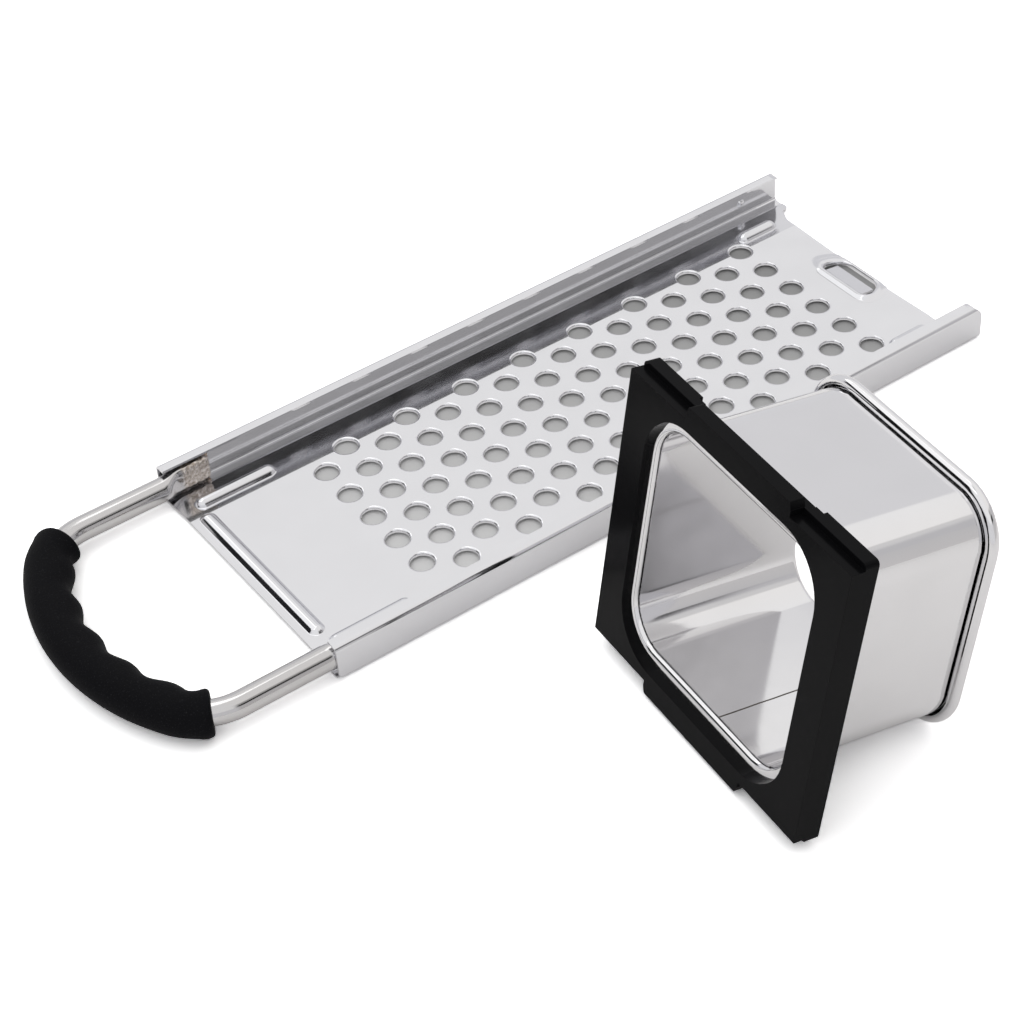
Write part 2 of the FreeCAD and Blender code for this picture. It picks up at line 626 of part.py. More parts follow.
def rolled_rim():
    """The rim: the sheet rolled outwards into an open curl, carried round the cup's four sides."""
    middle = CUP_SHEET / 2
    radius = CUP_TOP_ROUND - middle
    section = Part.Face(bent_strip([("bend", CURL_RADIUS - CUP_SHEET, CURL_TURN)], CUP_SHEET, across,
                                   (0, CUP_HEIGHT - CURL_RADIUS), 90))
    long, short = CUP_TOP_LENGTH / 2 - middle, CUP_TOP_WIDTH / 2 - middle
    sides = []
    for n in range(4):
        reach, out = (long, short) if n % 2 == 0 else (short, long)
        straight = section.translated(Vector(radius - reach, -out, 0))
        end = section.translated(Vector(reach - radius, -out, 0))
        corner = end.revolve(Vector(reach - radius, radius - out, 0), Vector(0, 0, 1), 90)
        side = straight.extrude(Vector(2 * (reach - radius), 0, 0)).fuse(corner)
        sides.append(side.rotated(Vector(0, 0, 0), Vector(0, 0, 1), 90 * n))
    return sides[0].fuse(sides[1:]).removeSplitter()


def make_cup():
    outside, inside = cup_walls()
    flange_wire = rounded_rectangle(CUP_BASE_LENGTH + 2 * FLANGE_WIDTH, CUP_BASE_WIDTH + 2 * FLANGE_WIDTH,
                                    CUP_BASE_ROUND + FLANGE_WIDTH)
    flange = slab(flange_wire, FLANGE_Z, CUP_SHEET)
    return outside.fuse(flange).cut(inside).fuse(rolled_rim())


def make_frame(cup):
    body = slab(frame_outline(), 0, FRAME_HEIGHT)
    long_x = FRAME_MID_LENGTH / 2
    foot_y = FRAME_MID_WIDTH / 2 + FRAME_STEP_RUN
    low_tops = [Part.makeBox(FRAME_MID_INSET, 2 * foot_y, FRAME_HEIGHT,
                             Vector(x, -foot_y, FRAME_MID_HEIGHT))
                for x in (-long_x, long_x - FRAME_MID_INSET)]
    body = body.cut(low_tops)
    corner_x = FRAME_CORNER_LENGTH / 2
    notches = []
    for x in (-corner_x - 1, corner_x - NOTCH_DEPTH):
        for y in (-NOTCH_OUTER_Y, NOTCH_INNER_Y):
            notches.append(Part.makeBox(NOTCH_DEPTH + 1, NOTCH_OUTER_Y - NOTCH_INNER_Y, NOTCH_HEIGHT + 1,
                                        Vector(x, y, -1)))
    body = body.cut(notches)
    mouth = slab(rounded_rectangle(MOUTH_LENGTH, MOUTH_WIDTH, MOUTH_ROUND), -1, FLANGE_Z + 1)
    body = body.cut(mouth)
    outer = [e for e in body.Edges if round_this(e)]
    body = body.makeFillet(FRAME_EDGE_ROUND, outer)
    inner = [e for e in body.Edges
             if abs(e.BoundBox.ZMax) < 1e-6 and abs(e.BoundBox.ZMin) < 1e-6
             and abs(e.CenterOfMass.x) < MOUTH_LENGTH / 2 + 0.01
             and abs(e.CenterOfMass.y) < MOUTH_WIDTH / 2 + 0.01]
    body = body.makeFillet(MOUTH_EDGE_ROUND, inner)
    seat = slab(rounded_rectangle(CUP_BASE_LENGTH + 2 * FLANGE_BEND, CUP_BASE_WIDTH + 2 * FLANGE_BEND,
                                  CUP_BASE_ROUND + FLANGE_BEND), FLANGE_Z, CUP_SHEET)
    return body.cut([seat, cup_walls()[0]]).cut(cup)


def round_this(edge):
    """The long outer edges of the two runners."""
    box = edge.BoundBox
    level = abs(box.ZMax - box.ZMin) < 1e-6 and (abs(box.ZMin) < 1e-6 or abs(box.ZMax - FRAME_HEIGHT) < 1e-6)
    at_side = abs(abs(edge.CenterOfMass.y) - FRAME_WIDTH / 2) < 1e-6
    return level and at_side


# ---------------------------------------------------------------- the hopper set down
def set_down(shapes):
    """Turns the seated hopper on its side and stands it on the frame's edge and the rim."""
    edge_x, edge_z = FRAME_MID_LENGTH / 2, FRAME_MID_HEIGHT
    rim_x = CUP_TOP_LENGTH / 2 - CUP_SHEET + CURL_RADIUS
    rim_z = CUP_HEIGHT - CURL_RADIUS
    apart = math.hypot(edge_x - rim_x, rim_z - edge_z)
    lean = math.atan2(edge_x - rim_x, rim_z - edge_z) - math.asin(CURL_RADIUS / apart)
    turn = Rotation(Vector(0, 1, 0), 90 + math.degrees(lean))
    edge = turn.multVec(Vector(edge_x, 0, edge_z))
    yaw = Rotation(Vector(0, 0, 1), SET_DOWN_YAW)
    place = Placement(Vector(SET_DOWN_X, SET_DOWN_Y, TABLE_Z), yaw)
    stand = Placement(Vector(-edge.x, -edge.y, -edge.z), turn)
    for shape in shapes:
        shape.Placement = place.multiply(stand).multiply(shape.Placement)


def main():
    board = make_board()
    tube = make_tube()
    grip = make_grip()
    welds = [make_weld(side, tube, board) for side in (-1, 1)]
    cup = make_cup()
    frame = make_frame(cup)
    set_down([cup, frame])
    nodes = {
        "perforated_board": board,
        "handle_tube": tube,
        "grip_sleeve": grip,
        "right_leg_weld": welds[0],
        "left_leg_weld": welds[1],
        "slide_frame": frame,
        "hopper_cup": cup,
    }
    whole = Part.makeCompound(list(nodes.values())).optimalBoundingBox()
    origin = Vector(whole.Center.x, whole.Center.y, TABLE_Z)
    print("origin", [round(v, 4) for v in origin])
    os.makedirs("parts", exist_ok=True)
    for name, shape in nodes.items():
        shape.translate(-origin)
        shape.exportStep("parts/" + name + ".step")
        box = shape.optimalBoundingBox()
        print(name, len(shape.Solids), shape.isValid(), round(shape.Volume, 1),
              [round(v, 2) for v in (box.XMin, box.YMin, box.ZMin, box.XMax, box.YMax, box.ZMax)])


main()
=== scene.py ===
# %% [markdown]
# # A spaetzle maker, dressed in Blender
# A spaetzle maker is a perforated steel board with folded rails and a looped handle. A hopper
# full of batter slides to and fro in the rails, and the holes cut the batter into small drops.
# Here the hopper is taken off and stands beside the board.
# The construction model comes in as a fixed frame. Every visible piece is then made again with
# the soft bends, rolled edges and polish that the construction model leaves out.

# %% Load the construction frame
import bpy
import bmesh
import math
from mathutils import Matrix, Vector, noise


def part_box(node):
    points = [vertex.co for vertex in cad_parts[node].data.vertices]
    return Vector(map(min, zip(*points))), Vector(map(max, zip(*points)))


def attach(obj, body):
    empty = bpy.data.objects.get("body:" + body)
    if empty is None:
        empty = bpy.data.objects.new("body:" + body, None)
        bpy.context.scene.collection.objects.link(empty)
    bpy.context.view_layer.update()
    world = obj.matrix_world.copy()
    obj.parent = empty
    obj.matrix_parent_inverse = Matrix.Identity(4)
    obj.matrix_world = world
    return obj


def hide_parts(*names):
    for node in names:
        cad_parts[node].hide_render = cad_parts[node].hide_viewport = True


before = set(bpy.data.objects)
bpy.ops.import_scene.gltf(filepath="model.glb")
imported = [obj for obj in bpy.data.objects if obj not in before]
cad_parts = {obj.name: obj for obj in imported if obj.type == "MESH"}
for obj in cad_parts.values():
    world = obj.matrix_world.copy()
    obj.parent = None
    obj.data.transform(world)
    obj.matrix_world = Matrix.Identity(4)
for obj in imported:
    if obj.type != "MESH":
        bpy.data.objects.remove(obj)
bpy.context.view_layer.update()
print("construction nodes:", sorted(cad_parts))

# %% [markdown]
# ## Where the pieces are
# All sizes are in metres, but a kitchen tool is easier to think about in millimetres, so a
# helper turns millimetres into metres. The board has a frame of its own: X along the rails, and
# the origin on the plate's top face, halfway along the rails. The place of that origin is read
# from the box of the board's node, so the scene follows the construction model when it moves.

# %% Millimetres, and the board's own frame
MM = 0.001
SHEET = 0.8
RAIL_LENGTH = 252.5
BOARD_WIDTH = 105.0
RAIL_HEIGHT = 12.0
FOOT_DROP = 1.0

board_low, board_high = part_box("perforated_board")
BOARD_ORIGIN = Vector(((board_low.x + board_high.x) / 2, (board_low.y + board_high.y) / 2,
                       board_low.z + (SHEET + FOOT_DROP) * MM))


def on_board(x, y, z):
    """A point given in millimetres in the board's frame, as metres in the scene."""
    return BOARD_ORIGIN + Vector((x, y, z)) * MM


print("board origin:", [round(v, 4) for v in BOARD_ORIGIN])

# %% [markdown]
# ## Camera
# A product camera with a longish lens looks down on the tool from the handle's side. Its place
# and the point it looks at are measured from the board, and it leans over by a few degrees, as
# a camera held by hand does. Tracking the aim point and then rolling keeps each number readable.

# %% Camera
camera_data = bpy.data.cameras.new("camera")
camera_data.lens = 85.67
camera_data.sensor_width = 36.0
camera = bpy.data.objects.new("camera", camera_data)
bpy.context.scene.collection.objects.link(camera)
camera.location = on_board(-350.9, -498.2, 500.76)
aim = on_board(-44.7, -24.35, -1.8)
looking = (aim - camera.location).to_track_quat("-Z", "Y")
camera.rotation_mode = "QUATERNION"
camera.rotation_quaternion = looking @ Matrix.Rotation(math.radians(-4.32), 4, "Z").to_quaternion()
bpy.context.scene.camera = camera
print("camera distance:", round((aim - camera.location).length, 4))

# %% [markdown]
# ## Floor and light
# Polished steel has almost no colour of its own: it shows what stands around it. So the studio
# matters more than the paint. It starts with a plain floor and a helper that keeps node trees
# short to write.

# %% Floor
FLOOR_HALF = 3
floor_mesh = bpy.data.meshes.new("floor")
corners = [(x * FLOOR_HALF, y * FLOOR_HALF, 0) for x, y in ((-1, -1), (1, -1), (1, 1), (-1, 1))]
floor_mesh.from_pydata(corners, [], [(0, 1, 2, 3)])
floor = bpy.data.objects.new("floor", floor_mesh)
bpy.context.scene.collection.objects.link(floor)
floor.location.z = -0.2 * MM


def node_adder(tree):
    """A helper for one node tree: it adds a node, and sets or links what the node is given."""
    def add(kind, **settings):
        node = tree.nodes.new(kind)
        for key, value in settings.items():
            if key not in node.inputs:
                setattr(node, key, value)
            elif hasattr(value, "is_output"):
                tree.links.new(value, node.inputs[key])
            else:
                node.inputs[key].default_value = value
        return node

    return add


def new_material(name):
    """An empty node material, its tree, and the helper that adds nodes to it."""
    material = bpy.data.materials.new(name)
    material.use_nodes = True
    tree = material.node_tree
    tree.nodes.clear()
    return material, tree, node_adder(tree)


print("floor at:", round(floor.location.z, 4))

# %% [markdown]
# ### The floor's white
# For the camera the floor is a diffuse white brighter than 1, so the ground reads as white and
# still keeps the tool's shadow. Under the plate, where little light comes, its colour is painted
# grey as a painted shade, and that grey is what one sees through the holes, lighter towards the
# handle and the near rail.

# %% The floor's white and its shade
floor_material, tree, add = new_material("white table")


def ramp_between(value, low, high, start, end):
    """Maps value from low..high to start..end, held at both ends."""
    node = add("ShaderNodeMapRange", Value=value)
    for name, number in (("From Min", low), ("From Max", high), ("To Min", start), ("To Max", end)):
        node.inputs[name].default_value = number
    return node.outputs[0]


def combined(operation, first, second):
    """Two values joined by one arithmetic step."""
    node = add("ShaderNodeMath", operation=operation)
    for socket, value in zip(node.inputs, (first, second)):
        if hasattr(value, "is_output"):
            tree.links.new(value, socket)
        else:
            socket.default_value = value
    return node.outputs[0]


def inside(value, half, fade):
    """1 under the plate and 0 past its edge, fading between two insets in millimetres."""
    inner, outer = (half - inset * MM for inset in fade)
    return ramp_between(combined("ABSOLUTE", value, 0.0), inner, outer, 1.0, 0.0)


OPEN_FLOOR, PAINTED_SHADE_NEAR, PAINTED_SHADE_FAR = 1.8, 0.72, 0.28
place = add("ShaderNodeTexCoord")
spot = add("ShaderNodeVectorMath", operation="SUBTRACT")
tree.links.new(place.outputs["Object"], spot.inputs[0])
spot.inputs[1].default_value = BOARD_ORIGIN
axes = add("ShaderNodeSeparateXYZ", Vector=spot.outputs[0])
along, across = axes.outputs["X"], axes.outputs["Y"]
# Painted shade: the floor's own colour is made darker under the plate, lighter towards the handle
# and the near rail.
under = combined("MULTIPLY", inside(along, RAIL_LENGTH / 2 * MM, (6.8, 5.6)),
                 inside(across, BOARD_WIDTH / 2 * MM, (6.0, 2.0)))
depth = combined("ADD", combined("MULTIPLY", along, 0.9), across)
shade = ramp_between(depth, -0.13, 0.12, PAINTED_SHADE_NEAR, PAINTED_SHADE_FAR)
painted_shade_darkening = combined("MULTIPLY", under, combined("SUBTRACT", shade, OPEN_FLOOR))
level = combined("ADD", painted_shade_darkening, OPEN_FLOOR)
# The camera sees lit, a mirror sees mirrored, and all other light falls on paper.
paper = add("ShaderNodeBsdfDiffuse", Color=(0.9, 0.9, 0.9, 1))
mirrored = add("ShaderNodeBsdfDiffuse", Color=(0.95, 0.94, 0.93, 1))
lit = add("ShaderNodeBsdfDiffuse", Color=level)
path = add("ShaderNodeLightPath")
polished = add("ShaderNodeMixShader", Fac=path.outputs["Is Glossy Ray"])
tree.links.new(paper.outputs[0], polished.inputs[1])
tree.links.new(mirrored.outputs[0], polished.inputs[2])
choose = add("ShaderNodeMixShader", Fac=path.outputs["Is Camera Ray"])
tree.links.new(polished.outputs[0], choose.inputs[1])
tree.links.new(lit.outputs[0], choose.inputs[2])
add("ShaderNodeOutputMaterial", Surface=choose.outputs[0])
floor_mesh.materials.append(floor_material)
print("floor:", floor.name)

# %% [markdown]
# ### Sky and lamp
# The studio is white, with a black card low on the left and a grey and black card on the right.
# The cards give the bends their black lines and the folded walls their grey. They are painted
# on the sky by direction, and the camera itself sees plain white there. The sky is dark behind
# the lamp, so that the two don't add up in a mirror.

# %% Sky
world = bpy.data.worlds.new("studio")
bpy.context.scene.world = world
world.use_nodes = True
tree = world.node_tree
tree.nodes.clear()
add = node_adder(tree)


def soft_step(value, low, high):
    """A smooth step from 0 at low to 1 at high."""
    node = add("ShaderNodeMapRange", Value=value)
    node.interpolation_type = "SMOOTHSTEP"
    node.inputs["From Min"].default_value = low
    node.inputs["From Max"].default_value = high
    return node.outputs[0]


def mixed(share, first, second, blend_type="MIX"):
    """Two colours mixed by a share from 0 to 1."""
    node = add("ShaderNodeMixRGB", blend_type=blend_type, Fac=share, Color1=first, Color2=second)
    return node.outputs[0]


def closeness(direction):
    """1 where a ray goes in this direction, and less the further it points away."""
    node = add("ShaderNodeVectorMath", operation="DOT_PRODUCT")
    tree.links.new(where.outputs["Generated"], node.inputs[0])
    node.inputs[1].default_value = direction
    return node.outputs["Value"]


KEY_PLACE = (-0.35, 0.75, 1.3)
LEFT_CARD_DIRECTION = (-0.657, 0.628, 0.418)
WHITE, BLACK_CARD, BEHIND_LAMP = (1.0, 1.0, 1.0, 1), (0.02, 0.02, 0.022, 1), (0.12, 0.12, 0.12, 1)
# Each pair is an angle in degrees, up from the horizon on the -Y side, and the grey there.
RIGHT_CARD = ((28.0, 0.76), (30.0, 0.03), (40.2, 0.03), (41.4, 0.48), (48.5, 0.48), (55.0, 1.0))
where = add("ShaderNodeTexCoord")
parts = add("ShaderNodeSeparateXYZ", Vector=where.outputs["Generated"])
height = combined("ARCTAN2", parts.outputs["Z"], combined("MULTIPLY", parts.outputs["Y"], -1.0))
card = add("ShaderNodeValToRGB", Fac=combined("DIVIDE", height, math.pi))
stops = card.color_ramp.elements
stops[0].color, stops[1].color = (0.80, 0.78, 0.76, 1), WHITE
for degrees, grey in RIGHT_CARD:
    stops.new(degrees / 180).color = (grey, grey * 0.985, grey * 0.97, 1)
# Towards +X the card is nowhere darker than a pale grey, and low down all the sky is dimmer.
lightened = mixed(soft_step(parts.outputs["X"], 0.52, 0.56), card.outputs[0], (0.74, 0.73, 0.73, 1),
                  "LIGHTEN")
right_card = mixed(soft_step(parts.outputs["X"], 0.0, 0.15), WHITE, lightened)
both_cards = mixed(soft_step(closeness(LEFT_CARD_DIRECTION), 0.945, 0.972), right_card, BLACK_CARD)
behind_lamp = soft_step(closeness(Vector(KEY_PLACE).normalized()), 0.90, 0.96)
haze = mixed(soft_step(parts.outputs["Z"], 0.49, 0.56), (0.80, 0.80, 0.82, 1), WHITE)
colour = mixed(1.0, mixed(behind_lamp, both_cards, BEHIND_LAMP), haze, "MULTIPLY")
studio = add("ShaderNodeBackground", Color=colour, Strength=1.0)
white = add("ShaderNodeBackground", Color=WHITE, Strength=1.0)
rays = add("ShaderNodeLightPath")
pick = add("ShaderNodeMixShader", Fac=rays.outputs["Is Camera Ray"])
tree.links.new(studio.outputs[0], pick.inputs[1])
tree.links.new(white.outputs[0], pick.inputs[2])
add("ShaderNodeOutputWorld", Surface=pick.outputs[0])
print("sky nodes:", len(tree.nodes))

# %% Lamps
def softbox(name, place, target, side, watts):
    """A square area lamp that looks at a target."""
    data = bpy.data.lights.new(name, "AREA")
    data.shape = "SQUARE"
    data.size = side
    data.energy = watts
    lamp = bpy.data.objects.new(name, data)
    bpy.context.scene.collection.objects.link(lamp)
    lamp.location = place
    lamp.rotation_mode = "QUATERNION"
    lamp.rotation_quaternion = (Vector(target) - Vector(place)).to_track_quat("-Z", "Y")
    return lamp


key_light = softbox("key", KEY_PLACE, target=(0, 0, 0), side=1.3, watts=5.6)
print("lamp:", key_light.name)

# %% [markdown]
# ## Finishes
# Each finish is a small node tree. Steel is a metal with a low roughness, a fine rolled grain
# and a very slight waviness, because thin sheet is never quite flat. The waviness bends the
# reflections, and that is what makes it read as pressed sheet and not as glass.

# %% Steel
def two_stops(node, low, low_colour, high, high_colour):
    """Places and colours both ends of a colour ramp node."""
    first, last = node.color_ramp.elements
    first.position, first.color = low, (*low_colour, 1)
    last.position, last.color = high, (*high_colour, 1)


def steel(name, colour, roughness, grain_along, wave=0.02, grain=0.004, hot=None):
    """Polished steel, its grain along one axis. hot is the X span over which heat stain sets in."""
    material, tree, add = new_material(name)
    place = add("ShaderNodeTexCoord")
    stretch = add("ShaderNodeMapping", Vector=place.outputs["Object"])
    stretch.inputs["Scale"].default_value = [60 if a == grain_along else 2600 for a in range(3)]
    lines = add("ShaderNodeTexNoise", Vector=stretch.outputs[0], Scale=1.0, Detail=2.0)
    wide = add("ShaderNodeTexNoise", Vector=place.outputs["Object"], Scale=38.0, Detail=1.0)
    smudge = add("ShaderNodeTexNoise", Vector=place.outputs["Object"], Scale=70.0, Detail=4.0)
    rough = add("ShaderNodeMapRange", Value=smudge.outputs[0])
    rough.inputs["From Min"].default_value = 0.3
    rough.inputs["From Max"].default_value = 0.7
    rough.inputs["To Min"].default_value = roughness * 0.75
    rough.inputs["To Max"].default_value = roughness * 1.3
    coarse = add("ShaderNodeBump", Height=wide.outputs[0], Strength=wave, Distance=0.01)
    fine = add("ShaderNodeBump", Height=lines.outputs[0], Strength=grain, Distance=0.001,
               Normal=coarse.outputs[0])
    shade = add("ShaderNodeMixRGB", Fac=smudge.outputs[0], Color1=(*colour, 1),
                Color2=(*[c * 0.94 for c in colour], 1))
    body = add("ShaderNodeBsdfPrincipled", Metallic=1.0, Roughness=rough.outputs[0],
               Normal=fine.outputs[0])
    tree.links.new(shade.outputs[0], body.inputs["Base Color"])
    if hot:
        axes = add("ShaderNodeSeparateXYZ", Vector=place.outputs["Object"])
        heat = add("ShaderNodeMapRange", Value=axes.outputs["X"])
        heat.inputs["From Min"].default_value, heat.inputs["From Max"].default_value = hot
        speckle = add("ShaderNodeTexNoise", Vector=place.outputs["Object"], Scale=900.0, Detail=3.0)
        stain = add("ShaderNodeValToRGB", Fac=speckle.outputs[0])
        two_stops(stain, 0.35, (0.43, 0.37, 0.32), 0.65, (0.74, 0.69, 0.64))
        tinted = add("ShaderNodeMixRGB", Fac=heat.outputs[0], Color1=shade.outputs[0],
                     Color2=stain.outputs[0])
        tree.links.new(tinted.outputs[0], body.inputs["Base Color"])
        scale = add("ShaderNodeBump", Height=speckle.outputs[0], Distance=0.0006,
                    Normal=fine.outputs[0])
        tree.links.new(heat.outputs[0], scale.inputs["Strength"])
        tree.links.new(scale.outputs[0], body.inputs["Normal"])
    add("ShaderNodeOutputMaterial", Surface=body.outputs[0])
    return material


TUBE_IN_RAIL, FLAT_LENGTH = 16.0, 11.0
hot_from = BOARD_ORIGIN.x + (TUBE_IN_RAIL - FLAT_LENGTH + 0.5 - RAIL_LENGTH / 2) * MM
hot_span = (hot_from, hot_from + 1.5 * MM)
board_steel = steel("polished board steel", (0.75, 0.75, 0.772), 0.11, grain_along=0, wave=0.012)
tube_steel = steel("polished tube steel", (0.60, 0.59, 0.59), 0.13, grain_along=1, hot=hot_span)
cup_steel = steel("polished cup steel", (0.795, 0.79, 0.80), 0.08, grain_along=1, wave=0.008)
print("steels:", board_steel.name, tube_steel.name, cup_steel.name)

# %% [markdown]
# ### The other finishes
# The weld is steel that heat made dull and brown. The sleeve is matt foam with a fine grain, and
# the frame is smooth black plastic with a slight orange peel. Noise nodes make every grain.

# %% Weld, grip and plastic
def heat_tinted():
    """Weld metal: duller, straw and brown where it was hot."""
    material, tree, add = new_material("heat tinted weld")
    place = add("ShaderNodeTexCoord")
    spots = add("ShaderNodeTexNoise", Vector=place.outputs["Object"], Scale=420.0, Detail=3.0)
    colours = add("ShaderNodeValToRGB", Fac=spots.outputs[0])
    two_stops(colours, 0.35, (0.30, 0.19, 0.12), 0.62, (0.80, 0.74, 0.66))
    bump = add("ShaderNodeBump", Height=spots.outputs[0], Strength=0.25, Distance=0.0004)
    body = add("ShaderNodeBsdfPrincipled", Metallic=1.0, Roughness=0.32, Normal=bump.outputs[0])
    tree.links.new(colours.outputs[0], body.inputs["Base Color"])
    add("ShaderNodeOutputMaterial", Surface=body.outputs[0])
    return material


def soft_foam():
    """Matt black sleeve with a faint grain."""
    material, tree, add = new_material("soft black sleeve")
    place = add("ShaderNodeTexCoord")
    grain = add("ShaderNodeTexNoise", Vector=place.outputs["Object"], Scale=1500.0, Detail=3.0)
    dust = add("ShaderNodeTexNoise", Vector=place.outputs["Object"], Scale=2600.0, Detail=1.0)
    specks = add("ShaderNodeValToRGB", Fac=dust.outputs[0])
    two_stops(specks, 0.60, (0.004, 0.004, 0.005), 0.78, (0.016, 0.016, 0.018))
    bump = add("ShaderNodeBump", Height=grain.outputs[0], Strength=0.35, Distance=0.0003)
    body = add("ShaderNodeBsdfPrincipled", Roughness=0.62, Normal=bump.outputs[0])
    body.inputs["Specular IOR Level"].default_value = 0.05
    tree.links.new(specks.outputs[0], body.inputs["Base Color"])
    add("ShaderNodeOutputMaterial", Surface=body.outputs[0])
    return material


def glossy_black():
    """Moulded black plastic with a light orange peel."""
    material, tree, add = new_material("glossy black plastic")
    place = add("ShaderNodeTexCoord")
    peel = add("ShaderNodeTexNoise", Vector=place.outputs["Object"], Scale=260.0, Detail=1.0)
    haze = add("ShaderNodeTexNoise", Vector=place.outputs["Object"], Scale=45.0, Detail=3.0)
    rough = add("ShaderNodeMapRange", Value=haze.outputs[0])
    rough.inputs["To Min"].default_value = 0.10
    rough.inputs["To Max"].default_value = 0.26
    bump = add("ShaderNodeBump", Height=peel.outputs[0], Strength=0.04, Distance=0.0005)
    body = add("ShaderNodeBsdfPrincipled", Roughness=rough.outputs[0], Normal=bump.outputs[0])
    body.inputs["Base Color"].default_value = (0.004, 0.004, 0.0045, 1)
    body.inputs["Specular IOR Level"].default_value = 0.045
    body.inputs["IOR"].default_value = 1.5
    add("ShaderNodeOutputMaterial", Surface=body.outputs[0])
    return material


def dark_seam():
    """The thin dull line where the cup's sheet meets itself."""
    material, tree, add = new_material("dark seam")
    place = add("ShaderNodeTexCoord")
    spots = add("ShaderNodeTexNoise", Vector=place.outputs["Object"], Scale=600.0, Detail=2.0)
    colours = add("ShaderNodeValToRGB", Fac=spots.outputs[0])
    two_stops(colours, 0.0, (0.05, 0.045, 0.04), 1.0, (0.25, 0.23, 0.21))
    body = add("ShaderNodeBsdfPrincipled", Metallic=1.0, Roughness=0.5)
    tree.links.new(colours.outputs[0], body.inputs["Base Color"])
    add("ShaderNodeOutputMaterial", Surface=body.outputs[0])
    return material


weld_metal = heat_tinted()
seam_metal = dark_seam()
sleeve_foam = soft_foam()
black_plastic = glossy_black()
print("other finishes:", weld_metal.name, sleeve_foam.name, black_plastic.name)

# %% [markdown]
# ## Helpers for making pieces
# Most pieces here are a closed outline carried along something: the sheet's section along the
# rails, a round along the handle, a rounded rectangle up the cup. One helper joins rings of
# points into a skin, another turns the finished mesh into a named piece, and the rest gather
# shapes that will be cut or will cut.

# %% Making a piece from points and faces
def tidy_normals(mesh):
    """Turns all faces of a closed mesh outwards."""
    whole = bmesh.new()
    whole.from_mesh(mesh)
    bmesh.ops.recalc_face_normals(whole, faces=whole.faces)
    whole.to_mesh(mesh)
    whole.free()


def piece(name, points, faces, material, body, node, smooth_angle=40.0):
    """A named piece with its finish, riding on its body in place of a construction node."""
    mesh = bpy.data.meshes.new(name)
    mesh.from_pydata([tuple(p) for p in points], [], faces)
    mesh.validate()
    tidy_normals(mesh)
    finish_piece(name, mesh, material, body, node, smooth_angle)


def finish_piece(name, mesh, material, body, node, smooth_angle=40.0):
    """Shades a mesh smooth up to an angle and places it on its body."""
    for face in mesh.polygons:
        face.use_smooth = True
    mesh.set_sharp_from_angle(angle=math.radians(smooth_angle))
    mesh.materials.clear()
    mesh.materials.append(material)
    thing = bpy.data.objects.new(name, mesh)
    bpy.context.scene.collection.objects.link(thing)
    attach(thing, body)
    if node:
        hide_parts(node)
    even = thing.modifiers.new("even normals", "WEIGHTED_NORMAL")
    even.keep_sharp = True
    print(name, "vertices:", len(mesh.vertices))


print("finishes ready for pieces:", len(bpy.data.materials))

# %% Rings, and shapes to be cut
def skin(rings, closed=False):
    """Joins rings of equally many points. closed joins the last ring to the first, without caps."""
    count = len(rings[0])
    points = [p for ring in rings for p in ring]
    faces = []
    spans = len(rings) if closed else len(rings) - 1
    for r in range(spans):
        a, b = r * count, (r + 1) % len(rings) * count
        for k in range(count):
            n = (k + 1) % count
            faces.append((a + k, a + n, b + n, b + k))
    if not closed:
        faces.append(tuple(range(count))[::-1])
        faces.append(tuple(range((len(rings) - 1) * count, len(rings) * count)))
    return points, faces


def joined(shapes):
    """Several pairs of points and faces as one pair."""
    all_points, all_faces = [], []
    for points, faces in shapes:
        offset = len(all_points)
        all_points += points
        all_faces += [tuple(k + offset for k in face) for face in faces]
    return all_points, all_faces


def loose_object(name, points, faces):
    """A plain closed object, to be cut or to cut with."""
    mesh = bpy.data.meshes.new(name)
    mesh.from_pydata([tuple(p) for p in points], [], faces)
    tidy_normals(mesh)
    thing = bpy.data.objects.new(name, mesh)
    bpy.context.scene.collection.objects.link(thing)
    return thing


def applied(thing):
    """A new mesh of an object with its modifiers worked in."""
    graph = bpy.context.evaluated_depsgraph_get()
    return bpy.data.meshes.new_from_object(thing.evaluated_get(graph))


# %% [markdown]
# ## The board
# The board is one sheet of steel. A roller folds up both walls and turns their tops inwards as
# lips, and a press makes the beads, the hook and the holes. So it is made here the same way:
# a section of the sheet is drawn once, with real bend radii, and carried along the rails.
# A boolean then cuts the openings, because their outlines cross the flat plate only.

# %% The sheet's section
def strip_section(moves, sheet, start, heading, per_bend=8):
    """Outline of a bent sheet walked along its middle line, as (u, v) points in millimetres."""
    half = sheet / 2
    u, v = start
    angle = math.radians(heading)
    left, right = [], []

    def drop():
        left.append((u - math.sin(angle) * half, v + math.cos(angle) * half))
        right.append((u + math.sin(angle) * half, v - math.cos(angle) * half))

    drop()
    for move in moves:
        if move[0] == "run":
            u += math.cos(angle) * move[1]
            v += math.sin(angle) * move[1]
            drop()
        else:
            radius, turn = move[1] + half, math.radians(move[2])
            sign = 1 if turn > 0 else -1
            centre = (u - math.sin(angle) * sign * radius, v + math.cos(angle) * sign * radius)
            for k in range(1, per_bend + 1):
                a = angle + turn * k / per_bend
                u = centre[0] + math.sin(a) * sign * radius
                v = centre[1] - math.cos(a) * sign * radius
                left.append((u - math.sin(a) * half, v + math.cos(a) * half))
                right.append((u + math.sin(a) * half, v - math.cos(a) * half))
            angle += turn
    return left + right[::-1]


